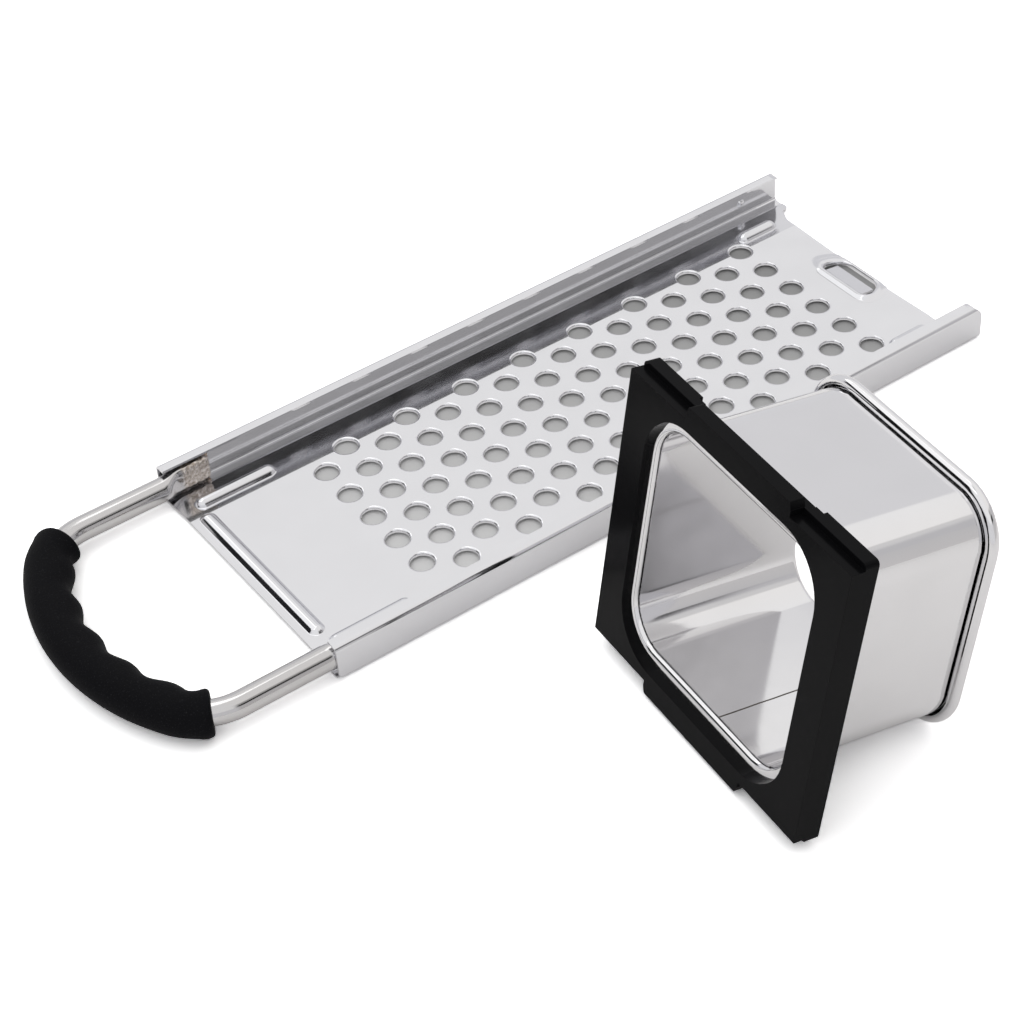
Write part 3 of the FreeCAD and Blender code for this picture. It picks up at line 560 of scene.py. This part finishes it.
LIP_WIDTH, LIP_BEND, FOOT_BEND, FOOT_FLAT, FOOT_SLOPE = 5.0, 1.1, 0.9, 2.8, 25.0
DIP_ANGLE, DIP_RUN, DIP_BEND = 2.8, 13.0, 6.0
lip_run = LIP_WIDTH - SHEET - LIP_BEND - SHEET / 2
wall_run = RAIL_HEIGHT + FOOT_DROP - 2 * SHEET - LIP_BEND - FOOT_BEND
slope = math.radians(FOOT_SLOPE)
middle = FOOT_BEND + SHEET / 2
dip, dip_bend = math.radians(DIP_ANGLE), DIP_BEND + SHEET / 2
rise = (FOOT_DROP - middle * (1 + math.cos(dip) - 2 * math.cos(slope)) - DIP_RUN * math.sin(dip)
        - dip_bend * (1 - math.cos(dip))) / math.sin(slope)
foot_reach = FOOT_FLAT + middle * (2 * math.sin(slope) - math.sin(dip)) + rise * math.cos(slope)
dip_reach = DIP_RUN * math.cos(dip) + dip_bend * math.sin(dip)
plate_run = BOARD_WIDTH - 2 * (SHEET + FOOT_BEND + foot_reach + dip_reach)
half_moves = [("run", lip_run), ("bend", LIP_BEND, 90), ("run", wall_run), ("bend", FOOT_BEND, 90),
              ("run", FOOT_FLAT), ("bend", FOOT_BEND, FOOT_SLOPE), ("run", rise),
              ("bend", FOOT_BEND, DIP_ANGLE - FOOT_SLOPE), ("run", DIP_RUN),
              ("bend", DIP_BEND, -DIP_ANGLE)]
moves = half_moves + [("run", plate_run)] + half_moves[::-1]
lip_top = RAIL_HEIGHT - SHEET
lip_start = (-(BOARD_WIDTH / 2 - SHEET - LIP_BEND - lip_run), lip_top - SHEET / 2)
section = strip_section(moves, SHEET, lip_start, 180)
DIP_START = plate_run / 2


def plate_drop(y):
    """How far the plate's top face lies below the middle at this distance across, in mm."""
    return max(0.0, abs(y) - DIP_START) * math.tan(dip)


print("section points:", len(section), "plate starts to fall at", round(DIP_START, 1), "mm")

# %% The folded board
rail_end = RAIL_LENGTH / 2
rings = [[on_board(x, y, z) for y, z in section] for x in (-rail_end, rail_end)]
board = loose_object("perforated_board_sheet", *skin(rings))
print("folded board:", len(board.data.polygons), "faces")

# %% [markdown]
# ### Cutting the sheet
# Each cutter is a plain prism. They are joined into one mesh first, because one exact boolean
# with many loose prisms is much faster than one boolean for each hole.

# %% Cutters
def prism(outline, low, high):
    """Points and faces of a vertical prism over an (x, y) outline in the board's frame."""
    return skin([[on_board(x, y, z) for x, y in outline] for z in (low, high)])


def circle(x, y, radius, steps=40):
    """Points on a circle, anticlockwise."""
    angles = [2 * math.pi * k / steps for k in range(steps)]
    return [(x + radius * math.cos(a), y + radius * math.sin(a)) for a in angles]


def rounded(corners, steps=8):
    """Rounds each (x, y, radius) corner of a closed outline."""
    result = []
    count = len(corners)
    for i, (x, y, radius) in enumerate(corners):
        here = Vector((x, y))
        before = (Vector(corners[i - 1][:2]) - here).normalized()
        after = (Vector(corners[(i + 1) % count][:2]) - here).normalized()
        if radius == 0:
            result.append((x, y))
            continue
        half = before.angle(after) / 2
        cut = radius / math.tan(half)
        centre = here + (before + after).normalized() * (radius / math.sin(half))
        first, last = here + before * cut - centre, here + after * cut - centre
        turn = first.angle_signed(last)
        for k in range(steps + 1):
            a = -turn * k / steps
            spin = Vector((first.x * math.cos(a) - first.y * math.sin(a),
                           first.x * math.sin(a) + first.y * math.cos(a)))
            result.append(tuple(centre + spin))
    return result


HOLE_PITCH, HOLE_ROWS, HOLES_PER_ROW, HOLE_FIELD_X, HOLE_RADIUS = 13.5, 11, 8, 7.6, 3.85
RIM_REACH, CUT_HALF = 0.75, 3
ROW_STEP = HOLE_PITCH * math.sqrt(3)
holes = []
for row in range(HOLE_ROWS):
    shift = ROW_STEP / 4 * (1 if row % 2 == 0 else -1)
    for n in range(HOLES_PER_ROW):
        holes.append((HOLE_FIELD_X + shift + (n - (HOLES_PER_ROW - 1) / 2) * ROW_STEP,
                      (row - (HOLE_ROWS - 1) / 2) * HOLE_PITCH / 2))
cutters = [prism(circle(x, y, HOLE_RADIUS + RIM_REACH), -CUT_HALF, CUT_HALF) for x, y in holes]
print("holes:", len(holes))

# %% The hook slot and the plate's far edge
SLOT_X, SLOT_DEPTH, SLOT_WIDTH, SLOT_Y, SLOT_TAPER = rail_end - 15.75, 8.6, 24.8, -2.3, 3.4
SLOT_NEAR_ROUND, SLOT_FAR_ROUND, SLOT_PLAY = 2.4, 6.2, 0.2


def slot_outline(grow):
    """The D-shaped slot, its flat side towards the handle."""
    near, far = SLOT_X - grow, SLOT_X + SLOT_DEPTH + grow
    low, high = SLOT_Y - SLOT_WIDTH / 2 - grow, SLOT_Y + SLOT_WIDTH / 2 + grow
    near_round, far_round = SLOT_NEAR_ROUND + grow, SLOT_FAR_ROUND + grow
    return rounded([(near, low, near_round), (far, low + SLOT_TAPER, far_round),
                    (far, high - SLOT_TAPER, far_round), (near, high, near_round)])


cutters.append(prism(slot_outline(SLOT_PLAY), -CUT_HALF, CUT_HALF))
WALL_INSIDE, EAR_Y, EAR_ROOT_Y = 50.8, 44.2, 38.1
ear_x, edge_x = rail_end - 0.4, rail_end - 6.0
EDGE_HOLLOW, HOLLOW_HALF = 0.8, 36
ear = rounded([(rail_end + 2, -WALL_INSIDE, 0), (ear_x, -WALL_INSIDE, 0), (ear_x, -EAR_Y, 1.5),
               (rail_end - 3.2, -EAR_Y + 0.5, 0.8), (edge_x, -EAR_ROOT_Y, 0)])
hollow = [(edge_x - EDGE_HOLLOW * math.cos(math.pi * y / (2 * HOLLOW_HALF)), y)
          for y in range(-34, 35, 4)]
far_edge = ear + hollow + [(x, -y) for x, y in ear[::-1]]
cutters.append(prism(far_edge, -CUT_HALF, 2.5))
print("cutters:", len(cutters))


# %% Rail ends, and the cut itself
def corner_prism(corner, into_x, into_z, radius, y_low, y_high, steps=8):
    """What a rounded corner loses, seen from the side and carried across in Y."""
    def at(u, v):
        return corner[0] + into_x * u, corner[1] + into_z * v

    quarter = [math.pi / 2 * k / steps for k in range(steps + 1)]
    outline = [at(-1, -1), at(radius, -1)]
    outline += [at(radius * (1 - math.sin(a)), radius * (1 - math.cos(a))) for a in quarter]
    outline.append(at(-1, radius))
    return skin([[on_board(x, y, z) for x, z in outline] for y in (y_low, y_high)])


FAR_ROUND, NEAR_ROUND, BEYOND_WALL = 4.5, 3.0, 54
cutters.append(corner_prism((rail_end, lip_top), -1, -1, FAR_ROUND, -BEYOND_WALL, BEYOND_WALL))
foot_corner = (-rail_end, -SHEET - FOOT_DROP)
for y_low, y_high in ((-BEYOND_WALL, -WALL_INSIDE), (WALL_INSIDE, BEYOND_WALL)):
    cutters.append(corner_prism(foot_corner, 1, 1, NEAR_ROUND, y_low, y_high))


def cut_with(thing, tool):
    """Cuts tool out of thing and applies the result."""
    boolean = thing.modifiers.new("cut", "BOOLEAN")
    boolean.operation = "DIFFERENCE"
    boolean.solver = "EXACT"
    boolean.use_self = True
    boolean.object = tool
    result = applied(thing)
    thing.modifiers.clear()
    thing.data = result
    bpy.data.objects.remove(tool)


cut_with(board, loose_object("cutters", *joined(cutters)))
print("cut board:", len(board.data.polygons), "faces")

# %% [markdown]
# ### Broken edges
# No sheet edge is a knife edge: tumbling and polishing rounds it a little. A narrow bevel with
# two segments catches a thin line of light along each edge, which is what the eye looks for.

# %% Soften the sheet's edges
def soften(thing, width, angle=42.0, segments=2):
    """The mesh of an object with a small round on every sharp edge."""
    bevel = thing.modifiers.new("soft edge", "BEVEL")
    bevel.width = width * MM
    bevel.segments = segments
    bevel.limit_method = "ANGLE"
    bevel.angle_limit = math.radians(angle)
    bevel.use_clamp_overlap = True
    bevel.miter_outer = "MITER_ARC"
    return applied(thing)


board_mesh = soften(board, 0.16)
bpy.data.objects.remove(board)
finish_piece("perforated_board_sheet", board_mesh, board_steel, "board", "perforated_board")

# %% [markdown]
# ### Drawn-down rims
# The punch pulls the sheet down round each hole, so the plate rolls over into the hole instead
# of ending in a sharp edge. The rim is a small profile turned about the hole's axis. All the
# rims share one mesh, because they share one finish.

# %% Rims of the holes
RIM_DEPTH, RIM_SHEET = 1.15, 0.35


def turned(x, y, profile):
    """A closed profile of (radius, z) points turned about a vertical axis."""
    return skin([[on_board(px, py, z - plate_drop(py)) for px, py in circle(x, y, r)]
                 for r, z in profile], closed=True)


quarter = [math.pi / 2 * k / 6 for k in range(7)]
rim_profile = [(HOLE_RADIUS + RIM_REACH * (1 - math.sin(a)), RIM_REACH * (math.cos(a) - 1))
               for a in quarter]
rim_profile += [(HOLE_RADIUS, -RIM_DEPTH), (HOLE_RADIUS + RIM_SHEET, -RIM_DEPTH),
                (HOLE_RADIUS + RIM_REACH, -SHEET)]
points, faces = joined(turned(x, y, rim_profile) for x, y in holes)
piece("hole_rims", points, faces, board_steel, "board", None)

# %% [markdown]
# ### Pressed beads
# The long beads stiffen the plate and stop the hopper at both ends of its travel. Each is a
# low round ridge that melts into the plate, so its section is a smooth hump, not a half circle.

# %% Beads
ABOVE_PLATE = 0.01


def bead_profile(height, half_width, flank, fillet, steps=9):
    """(reach, z) points of a ridge: a round crown, a straight flank and a fillet at the foot."""
    slope = math.radians(flank)
    rise, run = 1 - math.cos(slope), math.sin(slope)
    both = (half_width - height / math.tan(slope)) / (run - rise / math.tan(slope))
    crown = both - fillet
    over = [slope * k / steps for k in range(steps + 1)]
    foot = [slope * k / 5 for k in range(5, -1, -1)]
    line = [(crown * math.sin(a), height - crown * (1 - math.cos(a))) for a in over]
    line += [(half_width - fillet * math.sin(a), fillet * (1 - math.cos(a))) for a in foot]
    return [(reach, z + ABOVE_PLATE) for reach, z in line]


def racetrack(start, end, profile, turns=14):
    """The profile carried round both ends of a ridge from start to end, in the plate's plane."""
    start, end = Vector(start), Vector(end)
    heading = math.atan2(end.y - start.y, end.x - start.x)
    rings = []
    for centre, first in ((end, heading - math.pi / 2), (start, heading + math.pi / 2)):
        for k in range(turns + 1):
            a = first + math.pi * k / turns
            ring = []
            for reach, z in profile:
                x, y = centre.x + reach * math.cos(a), centre.y + reach * math.sin(a)
                ring.append(on_board(x, y, z - plate_drop(y) * (1 - z / profile[0][1])))
            rings.append(ring)
    points = [p for ring in rings for p in ring]
    width, faces = len(profile), []
    for r in range(len(rings)):
        n = (r + 1) % len(rings)
        for k in range(width - 1):
            faces.append((r * width + k, r * width + k + 1, n * width + k + 1, n * width + k))
    return points, faces


CROSS_BEAD_X, CROSS_BEAD_HALF = -rail_end + 5.3, 31.3
STOP_Y, STOP_END = 39.3, 3.0
NEAR_STOP_X, NEAR_STOP_LENGTH = -rail_end + 4.9, 29.7
FAR_STOP_X, FAR_STOP_LENGTH = rail_end - 10.8 - 16.7, 16.7
wide = bead_profile(1.5, 2.85, 48, 0.4)
narrow = bead_profile(1.9, 3.0, 62, 0.4)
bead_lines = [((CROSS_BEAD_X, -CROSS_BEAD_HALF), (CROSS_BEAD_X, CROSS_BEAD_HALF), wide)]
for y in (-STOP_Y, STOP_Y):
    for x, length in ((NEAR_STOP_X, NEAR_STOP_LENGTH), (FAR_STOP_X, FAR_STOP_LENGTH)):
        bead_lines.append(((x + STOP_END, y), (x + length - STOP_END, y), narrow))
points, faces = joined(racetrack(*line) for line in bead_lines)
piece("plate_beads", points, faces, board_steel, "board", None, smooth_angle=60)

# %% [markdown]
# ### The hook
# At the far end the press raises a rounded rim round a D-shaped slot and turns a tongue down
# from the slot's flat side. The tongue hooks over the rim of the pot.

# %% Hook rim and tongue
FAR_SIDE = rail_end - 6.3
SIDE_SPREAD, FAR_SINK = 0.5, 0.55


def rolled_edge(outline, section):
    """A section of (outward, z) points round a closed outline, wider at +Y and lower at +X."""
    rings = []
    count = len(outline)
    for i, (x, y) in enumerate(outline):
        ahead = Vector(outline[(i + 1) % count]) - Vector(outline[i - 1])
        out = Vector((ahead.y, -ahead.x)).normalized()
        wide, low = 1 + SIDE_SPREAD * max(0.0, out.y), 1 - FAR_SINK * max(0.0, out.x)
        rings.append([on_board(min(x + out.x * reach, FAR_SIDE), y + out.y * reach * wide,
                               z * low if z > 0.02 else z) for reach, z in section])
    return skin(rings, closed=True)


# From the foot on the plate, over the crown, down into the slot and back below the sheet.
hook_section = [(3.8, ABOVE_PLATE), (3.2, 0.06), (2.6, 0.22), (2.1, 0.5), (1.6, 0.82), (1.1, 1.02),
                (0.6, 1.04), (0.15, 0.84), (-0.15, 0.45), (-0.3, -0.1), (-0.3, -0.95),
                (0.5, -0.95), (2.6, -0.4)]
points, faces = rolled_edge(slot_outline(0.3), hook_section)
piece("hook_rim", points, faces, board_steel, "board", None, smooth_angle=60)

TONGUE_FLAT, TONGUE_RUN, TONGUE_TURN, TONGUE_BEND, TONGUE_HALF = 1.2, 5.6, -8.0, 0.8, 9.0
tongue_moves = [("run", TONGUE_FLAT), ("bend", TONGUE_BEND, TONGUE_TURN), ("run", TONGUE_RUN)]
tongue_section = strip_section(tongue_moves, SHEET, (SLOT_X - TONGUE_FLAT, -SHEET / 2), 0)
points, faces = skin([[on_board(x, SLOT_Y + y, z) for x, z in tongue_section]
                      for y in (-TONGUE_HALF, TONGUE_HALF)])
piece("hook_tongue", points, faces, board_steel, "board", None)

# %% [markdown]
# ### Dimples
# A punch pushed a small round dimple into each wall near its far end. It is the cap of a ball,
# drawn as a few circles that widen towards the wall.

# %% Dimples in the walls
def dimple(side):
    """A small round bump pushed in from outside, near the far end of a wall."""
    x, z, reach, ball = rail_end - 16.0, 3.9, 0.9, 2.0
    base = BOARD_WIDTH / 2 - SHEET + 0.05
    widest = math.acos(1 - reach / ball)
    rings = []
    for k in range(1, 8):
        a = widest * k / 7
        y = side * (base - reach + ball * (1 - math.cos(a)))
        rings.append([on_board(px, y, pz) for px, pz in circle(x, z, ball * math.sin(a), 24)])
    return skin(rings)


points, faces = joined(dimple(side) for side in (-1, 1))
piece("wall_dimples", points, faces, board_steel, "board", None, smooth_angle=60)

# %% [markdown]
# ## The handle
# The handle is one steel tube bent into a loop, with both ends pressed flat against the rails.
# Its axis is a straight leg, a tight corner, a wide palm arc, and the same again. The tube is a
# ring carried along that axis; the ring turns boxy and thin where the press flattened it.

# %% The handle's axis
TUBE_Z, TUBE_RADIUS, LEG_Y = 4.7, 4.0, 47.7
CORNER_RADIUS, CORNER_X, PALM_X = 20.0, -rail_end - 29.2, -rail_end - 56.65
corner_y = LEG_Y - CORNER_RADIUS
run_in = CORNER_X - PALM_X
palm_radius = (run_in ** 2 + corner_y ** 2 - CORNER_RADIUS ** 2) / (2 * (run_in - CORNER_RADIUS))
meet = math.atan2(corner_y, PALM_X + palm_radius - CORNER_X)
palm_length = palm_radius * meet
leg_length = palm_length + CORNER_RADIUS * (math.pi / 2 - meet)


def handle_point(distance):
    """Axis point and forward direction at a distance from the middle of the palm, in mm."""
    side = 1 if distance >= 0 else -1
    d = abs(distance)
    if d > leg_length:
        return Vector((CORNER_X + d - leg_length, side * LEG_Y)), Vector((0, -side))
    if d <= palm_length:
        a, radius, centre = d / palm_radius, palm_radius, Vector((PALM_X + palm_radius, 0))
    else:
        a, radius = meet + (d - palm_length) / CORNER_RADIUS, CORNER_RADIUS
        centre = Vector((CORNER_X, side * corner_y))
    forward = Vector((math.cos(a), -side * math.sin(a)))
    return centre - forward * radius, forward


def handle_ring(distance, outline):
    """A ring round the handle's axis, from (forward, up) pairs in mm."""
    place, forward = handle_point(distance)
    spots = [(place + forward * ahead, up) for ahead, up in outline]
    return [on_board(spot.x, spot.y, TUBE_Z + up) for spot, up in spots]


print("half handle:", round(leg_length, 1), "mm to the straight legs")

# %% The tube
FLAT_HALF_Y, FLAT_HALF_Z, SWELL_LENGTH, BOXY, CLOSED_END = 2.4, 4.5, 6.5, 0.55, 0.8
TUBE_END_X = -rail_end + TUBE_IN_RAIL
last = leg_length + TUBE_END_X - CORNER_X


def tube_outline(from_end):
    """The tube's section: flat against the wall near its end, and round further on."""
    share = min(max((from_end - FLAT_LENGTH) / SWELL_LENGTH, 0.0), 1.0)
    share = share * share * (3 - 2 * share)
    half_y = FLAT_HALF_Y + (TUBE_RADIUS - FLAT_HALF_Y) * share
    half_z = FLAT_HALF_Z + (TUBE_RADIUS - FLAT_HALF_Z) * share
    size = CLOSED_END if from_end < 0.3 else 1.0
    power = BOXY + (1 - BOXY) * share
    return [(math.copysign(abs(x) ** power, x) * half_y * size - (TUBE_RADIUS - half_y),
             math.copysign(abs(y) ** power, y) * half_z * size) for x, y in circle(0, 0, 1, 32)]


leg = [-last + s for s in (0.0001, 0.6, 4.0, 8.0, 11.0, 12.6, 14.2, 15.8, 17.5)]
leg += [-leg_length - s for s in (20.0, 10.0, 3.0)]
loop = [leg_length * (k / 40 - 1) for k in range(81)]
stations = leg + loop + [-s for s in leg[::-1]]
points, faces = skin([handle_ring(d, tube_outline(last - abs(d))) for d in stations])
piece("handle_tube_bent", points, faces, tube_steel, "board", "handle_tube",
      smooth_angle=60)

# %% [markdown]
# ## The grip
# A soft sleeve is pushed over the palm of the handle. It has hollows for the fingers on its
# inner side, and both ends are rounded over. The same ring idea works, with the ring's front
# and back following the hand.

# %% The sleeve
GRIP_HALF = palm_length + CORNER_RADIUS * (math.radians(64.0) - meet)
GRIP_FRONT, GRIP_BACK, GRIP_UP = 7.2, 7.6, TUBE_Z + SHEET + FOOT_DROP - 0.05
FINGER_PITCH, FINGER_DEPTH, FINGER_FADE = 18.0, 0.9, 8.0
COLLAR_HEIGHT, COLLAR_LENGTH, END_ROUND, END_SIZE = 0.5, 4.0, 1.6, 0.72
SLEEVE_INNER, SLEEVE_BORE = 4.05, 4.02


def sleeve_outline(d):
    """The sleeve's section at a distance from the middle of the palm."""
    from_end = GRIP_HALF - abs(d)
    collar = COLLAR_HEIGHT * math.sin(math.pi * min(from_end / COLLAR_LENGTH, 1.0))
    fade = min(from_end / FINGER_FADE, 1.0)
    wave = FINGER_DEPTH * fade * math.cos(2 * math.pi * d / FINGER_PITCH)
    curl = math.sqrt(1 - max(0.0, 1 - from_end / END_ROUND) ** 2)
    reach = {"front": GRIP_FRONT + wave + collar, "back": GRIP_BACK + collar, "up": GRIP_UP}
    swell = END_SIZE + (1 - END_SIZE) * curl
    size = {way: SLEEVE_INNER + (r - SLEEVE_INNER) * swell for way, r in reach.items()}
    return [(x * size["front" if x > 0 else "back"], y * size["up"]) for x, y in circle(0, 0, 1)]


ends = [0.0, 0.12, 0.4, 0.9, 1.6, 2.6]
middle_half = GRIP_HALF - 3.6
stations = [-GRIP_HALF + e for e in ends]
stations += [middle_half * (k / 45 - 1) for k in range(91)]
stations += [GRIP_HALF - e for e in ends[::-1]]
rings = [handle_ring(d, sleeve_outline(d)) for d in stations]
rings += [handle_ring(d, circle(0, 0, SLEEVE_BORE)) for d in stations[::-1]]
points, faces = skin(rings, closed=True)
piece("grip_sleeve_soft", points, faces, sleeve_foam, "board", "grip_sleeve",
      smooth_angle=60)

# %% [markdown]
# ## The welds
# Each leg is held by a short weld. A weld bead is a row of frozen drops, so it is built from
# overlapping balls, melted together by a voxel remesh.

# %% Weld beads
WELD_BALLS, WELD_HALF, WELD_RADIUS, WELD_Y = 6, 3.7, 1.25, 50.45


def weld(side, node):
    """A lumpy bead over the flattened end of a leg."""
    lump = bmesh.new()
    for n in range(WELD_BALLS):
        z = TUBE_Z - WELD_HALF + 2 * WELD_HALF * n / (WELD_BALLS - 1)
        drift = noise.noise(Vector((n * 3.1, side * 2.0, 0.4)))
        radius = (WELD_RADIUS + 0.3 * drift) * MM
        centre = on_board(TUBE_END_X - 0.2 + 0.25 * drift, side * WELD_Y, z)
        bmesh.ops.create_uvsphere(lump, u_segments=16, v_segments=10, radius=radius,
                                  matrix=Matrix.Translation(centre))
    mesh = bpy.data.meshes.new("weld")
    lump.to_mesh(mesh)
    lump.free()
    thing = bpy.data.objects.new("weld", mesh)
    bpy.context.scene.collection.objects.link(thing)
    remesh = thing.modifiers.new("melt", "REMESH")
    remesh.mode = "VOXEL"
    remesh.voxel_size = 0.25 * MM
    smooth = thing.modifiers.new("settle", "SMOOTH")
    smooth.iterations = 4
    result = applied(thing)
    bpy.data.objects.remove(thing)
    finish_piece(node + "_bead", result, weld_metal, "board", node, smooth_angle=60)


weld(-1, "right_leg_weld")
weld(1, "left_leg_weld")

# %% [markdown]
# ## The hopper's place
# The hopper is drawn as it sits in the rails, with its mouth down, because that is how it was
# designed. One matrix then sets it down on the table: it leans on the edge of its frame and on
# its rolled rim, so the lean follows from the sizes and isn't guessed.

# %% From the seated hopper to the table
FRAME_HALF, FRAME_MID_HEIGHT = 98.6 / 2, 7.2
CUP_LENGTH, CUP_WIDTH, CUP_ROUND, CUP_DRAFT, CUP_HEIGHT = 74.6, 73.6, 13.0, 0.2, 60.3
CUP_SHEET, CURL, FLANGE_Z = 0.7, 1.9, 2.4
wall_top = CUP_HEIGHT - CURL
roll_out = CUP_DRAFT - CUP_SHEET + CURL
inward, upward = FRAME_HALF - CUP_LENGTH / 2 - roll_out, wall_top - FRAME_MID_HEIGHT
lean = math.atan2(inward, upward) - math.asin(CURL / math.hypot(inward, upward))
turn = Matrix.Rotation(math.pi / 2 + lean, 4, "Y")
edge = turn @ Vector((FRAME_HALF, 0, FRAME_MID_HEIGHT))
SET_DOWN = Vector((-56.4, -134.9, -SHEET - FOOT_DROP))
heading = Matrix.Rotation(math.radians(-5.0), 4, "Z")
stand = Matrix.Translation(SET_DOWN) @ heading @ Matrix.Translation(-edge) @ turn


def on_hopper(x, y, z):
    """A point of the seated hopper in millimetres, as metres in the scene once it is set down."""
    return on_board(*(stand @ Vector((x, y, z))))


print("lean:", round(math.degrees(lean), 2), "degrees")

# %% [markdown]
# ## The cup
# The cup is a band of thin sheet bent into a square and welded, with its upper edge rolled
# outwards so that it doesn't cut. It is drawn as rounded rectangles stacked along its height:
# up the outside, round the roll and back, and down the inside.

# %% Rounded rectangles
def rounded_box(x, y, radius, steps):
    """A rounded rectangle about the middle, with x and y as its half sides."""
    return rounded([(-x, -y, radius), (x, -y, radius), (x, y, radius), (-x, y, radius)], steps)


def cup_ring(out, z):
    """A ring that lies out from the cup's base outline, at height z."""
    outline = rounded_box(CUP_LENGTH / 2 + out, CUP_WIDTH / 2 + out, CUP_ROUND + out, 10)
    return [on_hopper(x, y, z) for x, y in outline]


print("points in a ring of the cup:", len(cup_ring(0, FLANGE_Z)))

# %% The cup's skin
FLANGE_OUT, BASE_BEND, ROLL_TURN, ROLL_STEPS = 5.2, 1.2, 285, 19


def arc(out, z, radius, angles):
    """Points on an arc round (out, z), with the angles in degrees."""
    turns = [math.radians(a) for a in angles]
    return [(out + radius * math.cos(t), z + radius * math.sin(t)) for t in turns]


lean_out = CUP_DRAFT / (wall_top - FLANGE_Z)
bend_z = FLANGE_Z + CUP_SHEET + BASE_BEND
heights = [bend_z + (wall_top - bend_z) * k / 8 for k in range(9)]
base = [270 - 15 * k for k in range(7)]
roll = [180 - ROLL_TURN * k / ROLL_STEPS for k in range(ROLL_STEPS + 1)]
profile = [(FLANGE_OUT, FLANGE_Z + CUP_SHEET)]
profile += arc(BASE_BEND, bend_z, BASE_BEND, base)
profile += [((z - FLANGE_Z) * lean_out, z) for z in heights[1:]]
profile += arc(roll_out, wall_top, CURL - CUP_SHEET, roll[1:])
profile += arc(roll_out, wall_top, CURL, roll[::-1])
profile += [((z - FLANGE_Z) * lean_out - CUP_SHEET, z) for z in heights[-2::-1]]
profile += arc(BASE_BEND, bend_z, BASE_BEND + CUP_SHEET, base[::-1])
profile.append((FLANGE_OUT, FLANGE_Z))
points, faces = skin([cup_ring(out, z) for out, z in profile], closed=True)
piece("hopper_cup_shell", points, faces, cup_steel, "hopper", "hopper_cup",
      smooth_angle=50)

# %% [markdown]
# ### The cup's seam
# Where the two ends of the band meet, a thin dull line runs down the inside of one wall. It is
# a narrow raised strip with a finish of its own.

# %% The cup's seam
SEAM_Y, SEAM_HALF, SEAM_LOW = -6.5, 0.38, 4.2
SEAM_SECTION = ((0.05, -1), (-0.04, -0.4), (-0.04, 0.4), (0.05, 1))
rings = []
for k in range(13):
    z = SEAM_LOW + (wall_top - SEAM_LOW) * k / 12
    x = CUP_LENGTH / 2 + (z - FLANGE_Z) * lean_out - CUP_SHEET
    y = SEAM_Y + 0.12 * noise.noise(Vector((z * 0.2, 0.0, 0.0)))
    rings.append([on_hopper(x + into, y + SEAM_HALF * share, z) for into, share in SEAM_SECTION])
points, faces = skin(rings)
piece("cup_seam", points, faces, seam_metal, "hopper", None, smooth_angle=30)

# %% [markdown]
# ## The slide frame
# The frame is moulded in black plastic round the cup's flange. Its two runners slide under the
# board's lips. The end bars are longer in their middle, and the corners are notched to clear
# the stop beads. A prism with cut steps and rounded edges gives that moulded look.

# %% The frame's block
def hopper_prism(outline, low, high):
    """Points and faces of a prism over an (x, y) outline of the seated hopper."""
    return skin([[on_hopper(x, y, z) for x, y in outline] for z in (low, high)])


FRAME_SIDE, FRAME_HEIGHT, CORNER_HALF = 49.2, 8.4, 47.1
MID_SIDE, MID_ROOT = 22.5, 23.2
half = [(CORNER_HALF, -FRAME_SIDE, 1.5), (CORNER_HALF, -MID_ROOT, 0), (FRAME_HALF, -MID_SIDE, 0.5),
        (FRAME_HALF, MID_SIDE, 0.5), (CORNER_HALF, MID_ROOT, 0), (CORNER_HALF, FRAME_SIDE, 1.5)]
block = rounded(half + [(-x, -y, r) for x, y, r in half], 5)
slide = loose_object("slide_frame_moulding", *hopper_prism(block, 0, FRAME_HEIGHT))
print("frame block:", len(slide.data.polygons), "faces")

# %% [markdown]
# ### Cutting the frame
# The frame is cut like the board, with prisms and one boolean: the mouth below, the cup's seat
# above, a lower middle with a step in each end bar, and the four notches.

# %% Steps, notches and the mouth
def end_cut(side, x_span, y_span, z_span):
    """A box to cut out of one end bar, with x_span measured outwards."""
    low, high = sorted(side * x for x in x_span)
    outline = [(low, y_span[0]), (high, y_span[0]), (high, y_span[1]), (low, y_span[1])]
    return hopper_prism(outline, *z_span)


MOUTH_LENGTH, MOUTH_WIDTH, MOUTH_ROUND, SEAT_PLAY, OVER_TOP = 83.6, 77.4, 17, 0.05, 12
mouth = rounded_box(MOUTH_LENGTH / 2, MOUTH_WIDTH / 2, MOUTH_ROUND, 12)
seat = rounded_box(CUP_LENGTH / 2 + SEAT_PLAY, CUP_WIDTH / 2 + SEAT_PLAY, CUP_ROUND, 10)
cutters = [hopper_prism(mouth, -2, FLANGE_Z + 0.35), hopper_prism(seat, FLANGE_Z - 0.5, OVER_TOP)]
low_middle = (FRAME_HALF - 6.5, FRAME_HALF + 1), (-27.5, 27.5), (FRAME_MID_HEIGHT, OVER_TOP)
back_step = (CORNER_HALF - 0.3, FRAME_HALF + 1), (-24.5, 24.5), (4.6, 11)
notches = [((CORNER_HALF - 1.9, CORNER_HALF + 1), y_span, (-1, 4.1))
           for y_span in ((-51.0, -23.3), (23.3, 51.0))]
for side in (-1, 1):
    cutters += [end_cut(side, *spans) for spans in (low_middle, back_step, *notches)]
cut_with(slide, loose_object("frame_cutters", *joined(cutters)))
frame_mesh = soften(slide, 0.55, segments=3)
bpy.data.objects.remove(slide)
finish_piece("slide_frame_moulding", frame_mesh, black_plastic, "hopper", "slide_frame",
             smooth_angle=35)

# %% [markdown]
# ## Looks of the view, and the end
# The plain Standard view shows colours as they were set.

# %% Finish
bpy.context.scene.view_settings.view_transform = "Standard"
